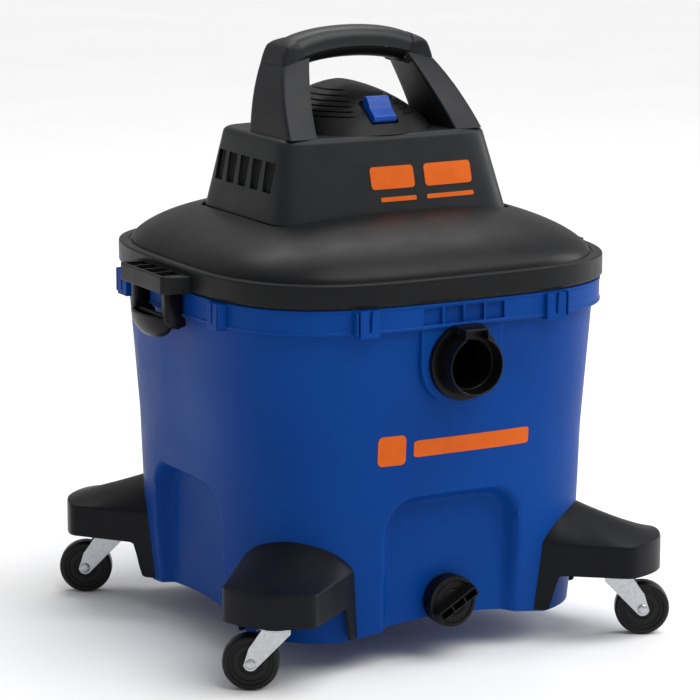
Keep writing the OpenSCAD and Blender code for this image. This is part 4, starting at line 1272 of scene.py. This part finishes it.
@dataclass
class Latch:
    """A latch: two arms that hang from the carrying ledge and a rounded finger scoop between their feet."""

    pin_x: float = 0.264
    pin_z: float = 0.425
    knuckle: float = 0.0055
    arm_in: float = 0.0350
    arm_out: float = 0.0460
    thick: float = 0.0048
    foot: float = 0.386
    low: float = 0.360
    reach: float = 0.0205

    def arm_plate(self) -> MeshObject:
        """Both arms and the shield between their feet, cut from one curved plate."""
        middle = self.foot + 0.004
        outline = [(self.arm_in, self.pin_z), (self.arm_out, self.pin_z), (self.arm_out, middle)]
        for degrees in range(-6, -180, -6):
            a = math.radians(degrees)
            outline.append((self.arm_out * math.cos(a), middle + (self.low - middle) * abs(math.sin(a))))
        outline += [(-self.arm_out, middle), (-self.arm_out, self.pin_z), (-self.arm_in, self.pin_z)]
        outline += round_corner((-self.arm_in + 0.004, middle + 0.004), 0.004, 180, 270, 4)
        outline += round_corner((self.arm_in - 0.004, middle + 0.004), 0.004, 270, 360, 4)
        place = Matrix(((0, 0, 1, self.pin_x - self.thick / 2), (1, 0, 0, 0), (0, 1, 0, 0), (0, 0, 0, 1)))
        plate = sheet_metal("latch", outline, self.thick, place)
        return soften(plate, 0.0011, 2, 40)

    def scoop(self) -> MeshObject:
        """Half bowl on the foot of the arms, hollow above for the fingers."""
        outer_x, top = self.pin_x - self.thick / 2, self.foot + 0.001

        def bowl(depth: float, shrink: float) -> Ring:
            """Ring of the bowl, at a share of its depth."""
            swell = math.sqrt(max(1 - depth ** 2, 0.0))
            z = mix(top, self.low, depth) + shrink * 0.6

            def rule(angle: float) -> Point:
                """Point of the ring at an angle."""
                half = (self.arm_out - shrink) * swell
                out = (self.reach - shrink) * swell ** 0.8
                return outer_x + out * max(math.cos(angle), -0.12), half * math.sin(angle), z
            return rule

        levels = (0.0, 0.12, 0.26, 0.42, 0.58, 0.73, 0.86, 0.95, 0.995)
        rings = [bowl(d, 0.0) for d in reversed(levels)]
        rings += [bowl(d, 0.0026) for d in levels[:-3]]
        return smooth(skin("scoop", 48, rings), 40)

    def cheek(self, side: int) -> MeshObject:
        """Deep side wall that runs down an arm and into the scoop."""
        outline = [(0.2576, 0.4235), (0.2690, 0.4235), (0.2692, 0.400), (0.2704, 0.390), (0.2690, 0.3825),
                   (0.2630, 0.3765), (0.2540, 0.3745), (0.2440, 0.3775), (0.2440, 0.3860), (0.2488, 0.3890),
                   (0.2490, 0.4140), (0.2576, 0.4175)]
        spare = 0.0008
        low = self.arm_in - spare if side > 0 else -self.arm_out - spare
        place = Matrix(((1, 0, 0, 0), (0, 0, 1, low), (0, 1, 0, 0), (0, 0, 0, 1)))
        wide = self.arm_out - self.arm_in + 2 * spare
        return soften(sheet_metal("cheek", outline, wide, place), 0.0022, 3, 30)

    def model(self) -> MeshObject:
        """The latch for the right side."""
        turn = Matrix.Rotation(math.pi / 2, 4, "X")
        place = Matrix.Translation((self.pin_x, self.arm_out, self.pin_z)) @ turn
        length = 2 * self.arm_out
        profile = [(0.0026, 0.0), (self.knuckle - 0.001, 0.0), (self.knuckle, 0.001),
                   (self.knuckle, length - 0.001), (self.knuckle - 0.001, length), (0.0026, length)]
        knuckle = turned("knuckle", profile, 40, place, Ends.JOINED)
        cheeks = (self.cheek(1), self.cheek(-1))
        return smooth(join("latch", self.arm_plate(), self.scoop(), knuckle, *cheeks), 40)

    def build(self) -> None:
        """Makes one latch, copies it to the other side and mounts both."""
        model = self.model()
        for side, name in ((1, "right"), (-1, "left")):
            twin = copied(model, f"latch_{name}_arms", facing_side(side))
            fitted(twin, FITTING_BLACK, f"latch_{name}_arm", f"latch_{name}")
        bpy.data.objects.remove(model)


# ---------------------------------------------------------------------------------------------- motor head


SWITCH_FRAME = Matrix.Translation((0, -0.050, 0.609)) @ Matrix.Rotation(math.radians(38), 4, "X")


@dataclass(frozen=True)
class Port:
    """A round opening in the back of the motor head, with the pad its fitting bears on."""

    x: float
    z: float
    bore: float
    pad: float
    face: float
    columns: int


@dataclass
class MotorHead:
    """The tapered housing with slotted sides, its domed cover and the orange print on its front."""

    low: float = 0.489
    top: float = 0.582
    low_half_x: float = 0.153
    low_half_y: float = 0.113
    top_half_x: float = 0.134
    top_half_y: float = 0.092
    low_cy: float = 0.007
    top_cy: float = 0.012
    square: float = 12.0
    bow: float = 0.007
    edge: float = 0.006
    wall: float = 0.003
    vents: int = 5
    vent_pitch: float = 0.0305
    vent_first_y: float = -0.049
    vent_z: float = 0.522
    vent_h: float = 0.034
    cover_half_x: float = 0.088
    cover_half_y: float = 0.090
    cover_cy: float = 0.012
    cover_top: float = 0.634
    cover_lean: float = 0.046
    cover_hole: float = 0.080
    grooves: int = 6
    groove_first: float = 0.36
    groove_pitch: float = 0.095
    groove_depth: float = 0.0012
    ports: tuple[Port, ...] = (Port(0.0, 0.536, 0.034, 0.043, 0.121, 64),
                               Port(-0.080, 0.512, 0.009, 0.0145, 0.1184, 32))

    def outline(self, angle: float, z: float, inset: float = 0.0) -> Point:
        """Point of the housing's wall: tight corners, with the front, back and sides bowed out a little."""
        t = (z - self.low) / (self.top - self.low)
        half_x = mix(self.low_half_x, self.top_half_x, t) - inset
        half_y = mix(self.low_half_y, self.top_half_y, t) - inset
        x, y = squircle(angle, half_x, half_y, self.square, 0.75)
        y -= math.copysign(self.bow * (x / half_x) ** 2 * min(abs(y) / half_y * 1.4, 1.0), y)
        x -= math.copysign(0.4 * self.bow * (y / half_y) ** 2 * min(abs(x) / half_x * 1.4, 1.0), x)
        return x, y + mix(self.low_cy, self.top_cy, t), z

    def housing(self) -> MeshObject:
        """The housing's shell with its slots cut through both sides."""
        def level(z: float, inset: float = 0.0) -> Ring:
            """Ring at one level."""
            return lambda a: self.outline(a, z, inset)

        def edge_ring(share: float) -> Ring:
            """Ring on the rounded top edge."""
            turn = share * math.pi / 2
            z = self.top - self.edge + self.edge * math.sin(turn)
            return level(z, self.edge * (1 - math.cos(turn)))

        def opening(z: float) -> Ring:
            """Round opening under the cover."""
            r = self.cover_hole
            return lambda a: (r * math.cos(a), r * math.sin(a) + self.cover_cy, z)

        foot = self.low - 0.004
        rings = [level(foot, 0.006), level(foot, 0.0026), level(self.low + 0.0002, 0.0024),
                 level(self.low, 0.0006), level(self.low + 0.0008)]
        rings += [level(mix(self.low + 0.0008, self.top - self.edge, i / 10)) for i in range(1, 11)]
        rings += [edge_ring(i / 6) for i in range(1, 7)]
        rings += [level(self.top, 0.022), opening(self.top), opening(self.top - self.wall)]
        rings += [level(self.top - self.wall, self.edge + 0.004), level(self.top - 0.009, self.wall),
                  level(self.low + 0.006, self.wall), level(self.low + 0.004, 0.006)]
        shell = skin("head_housing", 256, rings, Ends.JOINED)
        for side in (-1, 1):
            for i in range(self.vents):
                cut(shell, self.slot(side, i))
        self.rear_holes(shell)
        return smooth(join("head_housing", shell, *self.rear_pads()), 30)

    def slot(self, side: int, index: int) -> MeshObject:
        """Cutter of one side slot: straight up one edge, slanted up the other."""
        y, w, h = self.vent_first_y + index * self.vent_pitch, 0.0112, self.vent_h / 2
        outline = [(-w, -h), (w - 0.0035, -h), (w, h), (-w, h)]
        place = Matrix(((0, 0, 1, 0.10), (1, 0, 0, y), (0, 1, 0, self.vent_z + h), (0, 0, 0, 1)))
        return moved(sheet_metal("tool", outline, 0.08, place), facing_side(side))

    def rear_holes(self, shell: MeshObject) -> None:
        """Holes for the exhaust port and the cord gland."""
        for port in self.ports:
            place = facing_back(0.08, port.z, port.x)
            cut(shell, turned("tool", [(port.bore, 0.0), (port.bore, 0.08)], port.columns, place))

    def rear_pads(self) -> list[MeshObject]:
        """Raised pads on the back, which the exhaust port and the cord gland bear on."""
        pads = []
        for port in self.ports:
            profile = [(port.bore, 0.100), (port.pad, 0.100), (port.pad, port.face - 0.002),
                       (port.pad - 0.0006, port.face - 0.0006), (port.pad - 0.002, port.face),
                       (port.bore, port.face)]
            pads.append(turned("pad", profile, 96, facing_back(0, port.z, port.x), Ends.JOINED))
        return pads

    def fins(self) -> MeshObject:
        """Slanted fins behind the slots, which turn the cooling air, and hide the motor."""
        made = []
        for side in (-1, 1):
            for i in range(self.vents):
                y = self.vent_first_y + i * self.vent_pitch
                outline = [(0.1405, y + 0.0088), (0.1225, y - 0.011), (0.1215, y - 0.0098),
                           (0.1380, y + 0.0088)]
                place = Matrix.Translation((0, 0, self.vent_z - 0.002))
                fin = sheet_metal("fin", outline, self.vent_h + 0.004, place)
                for vert in fin.data.vertices:
                    if vert.co.z > self.vent_z + self.vent_h / 2:
                        vert.co.x -= 0.008
                made.append(moved(fin, facing_side(side)))
        return smooth(join("head_vent_fins", *made), 30)

    def cover_point(self, angle: float, t: float) -> Point:
        """Point of the domed cover, at a share of its height, with louvre grooves on its shoulders."""
        front = max(-math.sin(angle), 0.0) ** 3
        k = mix(max(1 - t ** 1.5, 0.0) ** 0.66, max(1 - t ** 2.6, 0.0) ** 0.60, front)
        x, y = squircle(angle, k * self.cover_half_x, k * self.cover_half_y, 2.2)
        lean = self.cover_cy + self.cover_lean * t * (1 - 0.25 * t)
        return x, y + lean, mix(self.top, self.cover_top, t)

    def groove(self, angle: float, t: float) -> float:
        """Depth of the louvre grooves at a point of the cover, as a share."""
        turn = math.degrees(angle) % 360
        beside = min(abs(turn - 203), abs(turn - 337 if turn > 180 else turn + 23))
        fade = ease((47 - beside) / 6)
        cut_in = any(abs(t - middle) < 0.012 for middle in self.groove_levels())
        return fade if cut_in else 0.0

    def groove_levels(self) -> list[float]:
        """Shares of the cover's height at which the grooves run."""
        return [self.groove_first + self.groove_pitch * i for i in range(self.grooves)]

    def cover(self) -> MeshObject:
        """The domed cover with its louvre grooves and the pocket of the switch."""
        def level(t: float, sink: float = 0.0) -> Ring:
            """Ring at one level."""
            def rule(angle: float) -> Point:
                """Point of the ring at an angle."""
                x, y, z = self.cover_point(angle, t)
                depth = sink * self.groove(angle, t)
                cy = self.cover_cy + self.cover_lean * t
                return x - math.copysign(depth, x), y - depth * (y - cy) / self.cover_half_y, z - depth * 0.6
            return rule

        rings = [level(t) for t in (0.0, 0.03, 0.1, 0.2, 0.3)]
        for middle in self.groove_levels():
            rings += [level(middle - 0.016), level(middle - 0.006, self.groove_depth),
                      level(middle + 0.006, self.groove_depth), level(middle + 0.016), level(middle + 0.045)]
        rings += [level(t) for t in (0.93, 0.96, 0.985, 0.997)]
        dome = skin("head_cover", 192, rings)
        pocket = block("tool", (-0.0184, -0.0235, -0.012), (0.0184, 0.0185, 0.03))
        soften(pocket, 0.005, 4)
        pocket.data.transform(SWITCH_FRAME)
        cut(dome, pocket)
        return smooth(dome, 38)

    def build(self) -> None:
        """Makes, dresses and mounts the head's shells."""
        fitted(self.housing(), HEAD_BLACK, "lid_head", "motor_housing")
        fitted(self.fins(), HEAD_BLACK, "lid_head")
        fitted(self.cover(), COVER_BLACK, "lid_head", "motor_cover")
        carried(FITTING_BLACK, "exhaust_port")
        carried(SEAL_RUBBER, "cord_gland")


@dataclass
class Rocker:
    """The blue rocker of the switch, with a hollow top that rises at both ends."""

    width: float = 0.0290
    front: float = -0.0205
    back: float = 0.0155

    def paddle(self) -> MeshObject:
        """The rocker, with a high lobe at the back and a rounded front."""
        side = [(self.front, -0.001), (self.front + 0.003, -0.007), (self.back - 0.003, -0.007),
                (self.back, 0.003)]
        side += round_corner((self.back - 0.0055, 0.0030), 0.0055, 0, 110, 8)
        side += [(0.0015, 0.0066), (-0.0010, 0.0048), (-0.0050, 0.0040), (-0.0110, 0.0042)]
        side += round_corner((self.front + 0.0055, -0.0012), 0.0055, 80, 175, 8)
        place = Matrix(((0, 0, 1, -self.width / 2), (1, 0, 0, 0), (0, 1, 0, 0), (0, 0, 0, 1)))
        rocker = sheet_metal("switch_paddle", side, self.width, SWITCH_FRAME @ place)
        return smooth(soften(rocker, 0.0045, 6, 40), 40)

    def tray(self) -> MeshObject:
        """The tray the rocker sits in, with a small stop at its front."""
        tray = block("switch_tray", (-0.0182, -0.0233, -0.0170), (0.0182, 0.0183, -0.0022))
        soften(tray, 0.004, 4)
        cut(tray, block("tool", (-0.0165, -0.0216, -0.0150), (0.0165, 0.0166, 0.01)))
        stop = soften(block("stop", (-0.0016, -0.0222, -0.0160), (0.0016, -0.0210, 0.0002)), 0.0005, 2)
        tray = join("switch_tray", tray, stop)
        tray.data.transform(SWITCH_FRAME)
        return smooth(tray, 40)

    def build(self) -> None:
        """Makes, dresses and mounts the rocker and its tray."""
        fitted(self.paddle(), SWITCH_BLUE, "rocker", "switch_rocker")
        fitted(self.tray(), FITTING_BLACK, "lid_head", "switch_body")


@dataclass
class Handle:
    """The carrying handle: two flat-faced posts, their square shoulders and a round two-part grip."""

    low: float = 0.582
    seam: float = 0.662
    top: float = 0.699
    low_half: tuple[float, float] = (0.0185, 0.051)
    seam_half: tuple[float, float] = (0.0178, 0.0295)
    low_x: float = 0.1075
    seam_x: float = 0.0812
    low_y: float = -0.021
    seam_y: float = 0.0255
    bow: float = 0.003
    slant: float = 0.26
    lead: float = 6.0
    thick: float = 0.019
    depth: float = 0.024
    split: float = 26.0

    def post(self, side: int) -> MeshObject:
        """One post, with a fine step at the seam on its top."""
        def level(t: float, inset: float = 0.0) -> Ring:
            """Ring at one level."""
            half_x = mix(self.low_half[0], self.seam_half[0], t) - inset
            half_y = mix(self.low_half[1], self.seam_half[1], t) - inset
            middle = side * (mix(self.low_x, self.seam_x, t) + self.bow * 4 * t * (1 - t))

            def rule(angle: float) -> Point:
                """Point of the ring at an angle."""
                x, y = squircle(angle, half_x, half_y, 14, 0.85)
                tilt = self.slant * side * x * t ** 3
                return middle + x, mix(self.low_y, self.seam_y, t) + y, mix(self.low, self.seam, t) - tilt
            return rule

        rings = [level(0.0), *[level(i / 10) for i in range(1, 10)], level(0.992), level(1.0, 0.0008)]
        return skin("post", 96, rings)

    def arch(self, degrees: float, angle: float, trim: float = 0.0, tube: bool = False) -> Point:
        """Point of the grip.

        Args:
            degrees: place along the arch, from 0 at the right seam to 180 at the left
            angle: place round the section, with 0 at the back and a quarter turn outwards
            trim: how far the section is shrunk
            tube: round all the way, where a shoulder is only rounded outwards

        Returns:
            The point.
        """
        lead = math.radians(self.lead)
        turn = mix(lead, math.pi - lead, degrees / 180)
        rise = (self.top - self.seam - self.thick) / (1 - math.sin(lead))
        half = self.seam_x / math.cos(lead)
        nx, nz = math.cos(turn) / half, math.sin(turn) / rise
        length = math.hypot(nx, nz)
        place = min(degrees, 180 - degrees)
        grow = clamp(place / 60) ** 0.8
        square = 2.3 if tube else 14
        if math.sin(angle) > 0 and not tube:
            square = mix(14, 2.6, ease(place / self.split))
        thick = mix(self.seam_half[0], self.thick, grow) - trim
        depth = mix(self.seam_half[1], self.depth, grow) - trim
        side, up = squircle(angle, depth, thick, square, 0.0 if tube else 0.85)
        out = 1 if degrees < 90 else -1
        bend = ease(place / 9)
        x = mix(out * (self.seam_x + up), half * math.cos(turn) + up * nx / length, bend)
        arch_z = self.top - self.thick - rise * (1 - math.sin(turn)) + up * nz / length
        return x, self.seam_y + side, mix(self.seam - self.slant * up, arch_z, bend)

    def shoulder(self, mirrored: bool) -> MeshObject:
        """Square shoulder that carries the grip on its post."""
        def station(degrees: float, trim: float = 0.0) -> Ring:
            """Section at one place along the piece."""
            place = 180 - degrees if mirrored else degrees
            return lambda a: self.arch(place, a, trim)

        rings = [station(0.0, 0.0008), station(0.6)]
        rings += [station(self.split * i / 12) for i in range(1, 12)]
        rings += [station(self.split - 0.5), station(self.split, 0.0006), station(self.split + 0.2, 0.003)]
        return skin("shoulder", 96, rings)

    def shell(self, name: str, first: float, last: float, trim: float) -> MeshObject:
        """One half of the grip's shell.

        Args:
            name: name of the piece
            first: start of the half section, in degrees
            last: end of the half section, in degrees
            trim: how far this half is shrunk

        Returns:
            The new object.
        """
        start = self.split - 1.0

        def station(share: float) -> Ring:
            """Section at one place along the piece."""
            place = mix(start, 180 - start, share)

            def rule(angle: float) -> Point:
                """Point of the ring at an angle."""
                turn = angle % TURN
                if turn <= math.pi:
                    return self.arch(place, math.radians(mix(first, last, turn / math.pi)), trim, True)
                back = math.radians(mix(last, first, turn / math.pi - 1))
                return self.arch(place, back, trim + 0.004, True)
            return rule

        return smooth(skin(name, 64, [station(i / 40) for i in range(41)]), 40)

    def build(self) -> None:
        """Makes, dresses and mounts the handle."""
        posts = join("handle_post_pair", self.post(-1), self.post(1))
        fitted(smooth(posts, 40), POST_BLACK, "lid_head", "handle_posts")
        shoulders = join("grip_shoulders", self.shoulder(False), self.shoulder(True))
        fitted(smooth(shoulders, 40), POST_BLACK, "lid_head")
        fitted(self.shell("grip_top_shell", -14, 194, 0.0006), GRIP_BLACK, "lid_head", "grip_upper")
        # The underside shell takes the grip's black with painted shade, darker than the top shell.
        fitted(self.shell("grip_under_shell", 196, 344, 0.0011), GRIP_PAINTED_SHADE, "lid_head", "grip_lower")


# ----------------------------------------------------------------------------------- inside, and the scene


def dress_inside() -> None:
    """Dresses the frame nodes inside the tank and the motor head."""
    carried(HEAD_BLACK, "filter_cage")
    carried(ZINC, "cage_screws", "bearing_lower", "bearing_upper", "motor_shaft")
    carried(FLOAT_WHITE, "float_ball")
    carried(FILTER_PAPER, "filter_media")
    carried(SEAL_RUBBER, "filter_caps", "fan_gasket")
    carried(ALLOY, "fan_housing", "motor_bracket", "impeller", "cooling_fan")
    carried(LAMINATION, "field_core", "armature")
    carried(COPPER, "field_windings", "brush_holders", "commutator")


@dataclass
class Print:
    """Plain orange bars on the front of the motor head and of the tank."""

    tank: Tank
    head: MotorHead
    thick: float = 0.0005
    lift: float = 0.0003
    head_bars: tuple[Bar, ...] = (((-0.034, 0.523), (0.022, 0.548)), ((0.036, 0.523), (0.099, 0.548)),
                                  ((-0.024, 0.509), (0.022, 0.514)), ((0.036, 0.509), (0.099, 0.514)))
    tank_bars: tuple[Bar, ...] = (((-0.098, 0.236), (-0.064, 0.270)), ((-0.054, 0.243), (0.096, 0.262)))

    def on_tank(self, x: float, z: float) -> float:
        """The y of the tank's front."""
        half = along(self.tank.halves, z)
        return -half * (1 - (abs(x) / half) ** self.tank.square) ** (1 / self.tank.square)

    def on_head(self, x: float, z: float) -> float:
        """The y of the motor head's front."""
        t = (z - self.head.low) / (self.head.top - self.head.low)
        half_x = mix(self.head.low_half_x, self.head.top_half_x, t)
        half_y = mix(self.head.low_half_y, self.head.top_half_y, t)
        y = -half_y * (1 - (abs(x) / half_x) ** self.head.square) ** (1 / self.head.square)
        return y + self.head.bow * (x / half_x) ** 2 + mix(self.head.low_cy, self.head.top_cy, t)

    def bar(self, low: tuple[float, float], high: tuple[float, float],
            front: Callable[[float, float], float]) -> MeshObject:
        """A rounded bar that lies on a front.

        Args:
            low: its lower left corner, as x and z
            high: its upper right corner
            front: gives the y of the surface under it

        Returns:
            The new object.
        """
        bpy.ops.object.select_all(action="DESELECT")
        bpy.ops.mesh.primitive_grid_add(x_subdivisions=32, y_subdivisions=12, size=2)
        obj = fresh("bar")
        middle = [(a + b) / 2 for a, b in zip(low, high)]
        half = [(b - a) / 2 for a, b in zip(low, high)]
        corner = min(half) * 0.35
        for vert in obj.data.vertices:
            x, z = vert.co.x * half[0], vert.co.y * half[1]
            over = (abs(x) - half[0] + corner, abs(z) - half[1] + corner)
            if min(over) > 0:
                reach = max(over) / math.hypot(*over)
                x = math.copysign(half[0] - corner + over[0] * reach, x)
                z = math.copysign(half[1] - corner + over[1] * reach, z)
            x, z = x + middle[0], z + middle[1]
            vert.co = (x, front(x, z) - self.lift, z)
        modify(obj, "SOLIDIFY", thickness=self.thick, offset=0.0)
        return outwards(obj)

    def build(self) -> None:
        """Makes, dresses and mounts both prints."""
        for name, bars, front, body in (("head_print", self.head_bars, self.on_head, "lid_head"),
                                        ("tank_print", self.tank_bars, self.on_tank, "tank_base")):
            made = [self.bar(low, high, front) for low, high in bars]
            fitted(smooth(join(name, *made), 30), ORANGE_PRINT, body)


@dataclass
class Studio:
    """A pale floor, soft lamps and the camera."""

    camera_at: Point = (-1.7265, -3.1605, 1.0569)
    look_at: Point = (-0.0077, 0.0042, 0.3181)
    lens: float = 160.9
    sensor: float = 36.0
    floor: float = 60.0

    def aimed(self, obj: MeshObject, at: Point, target: Point) -> None:
        """Places an object and points its -Z at a target."""
        obj.location = at
        obj.rotation_euler = (Vector(target) - Vector(at)).to_track_quat("-Z", "Y").to_euler()

    def lamp(self, name: str, at: Point, size: tuple[float, float], power: float,
             target: Point = (0.0, 0.0, 0.35)) -> None:
        """Soft rectangular lamp.

        Args:
            name: name of the lamp
            at: where it hangs
            size: width and height
            power: power in watts
            target: what it points at
        """
        data = bpy.data.lights.new(name, "AREA")
        data.shape = "RECTANGLE"
        data.size, data.size_y = size
        data.energy = power
        lamp = bpy.data.objects.new(name, data)
        bpy.context.scene.collection.objects.link(lamp)
        self.aimed(lamp, at, target)

    def sun(self, name: str, towards: Point, strength: float, spread: float) -> None:
        """Even light from far away, softened over a spread in degrees."""
        data = bpy.data.lights.new(name, "SUN")
        data.energy = strength
        data.angle = math.radians(spread)
        lamp = bpy.data.objects.new(name, data)
        bpy.context.scene.collection.objects.link(lamp)
        self.aimed(lamp, towards, (0.0, 0.0, 0.0))

    def camera(self) -> None:
        """The camera, in sharp focus throughout."""
        data = bpy.data.cameras.new("camera")
        data.lens, data.sensor_width = self.lens, self.sensor
        data.clip_end = 100
        data.dof.use_dof = False
        camera = bpy.data.objects.new("camera", data)
        bpy.context.scene.collection.objects.link(camera)
        self.aimed(camera, self.camera_at, self.look_at)
        bpy.context.scene.camera = camera

    def world(self, brightness: float) -> None:
        """Even pale surroundings."""
        world = bpy.data.worlds.new("studio")
        world.use_nodes = True
        shade = world.node_tree.nodes["Background"]
        shade.inputs["Color"].default_value = (1.0, 1.0, 1.0, 1.0)
        shade.inputs["Strength"].default_value = brightness
        bpy.context.scene.world = world

    def build(self) -> None:
        """Makes the floor, the lamps, the world and the camera."""
        bpy.ops.object.select_all(action="DESELECT")
        bpy.ops.mesh.primitive_plane_add(size=self.floor)
        floor = fresh("studio_floor")
        FLOOR_WHITE.dress(floor)
        self.world(0.45)
        self.sun("daylight", (1.0, -1.7, 3.6), 2.3, 50.0)
        self.lamp("right_side", (3.4, -0.6, 1.6), (1.0, 2.4), 60)
        self.lamp("top", (0.6, 1.6, 3.0), (2.6, 0.8), 34, (0.0, 0.0, 0.5))
        self.camera()
        bpy.context.scene.view_settings.view_transform = "Standard"


# ---------------------------------------------------------------------------------------------------- main


def main() -> None:
    """Builds every sub-assembly, then the scene."""
    logging.basicConfig(level=logging.INFO, format="%(name)s: %(message)s")
    tank, head = Tank(), MotorHead()
    assemblies = (tank, RimBand(tank), Inlet(), DrainCap(), Foot(tank), Caster(), Lid(), CarryingLedge(),
                  Latch(), head, Rocker(), Handle(), Print(tank, head))
    for assembly in assemblies:
        LOG.info("building %s", type(assembly).__name__)
        assembly.build()
    dress_inside()
    Studio().build()


if __name__ == "__main__":
    main()
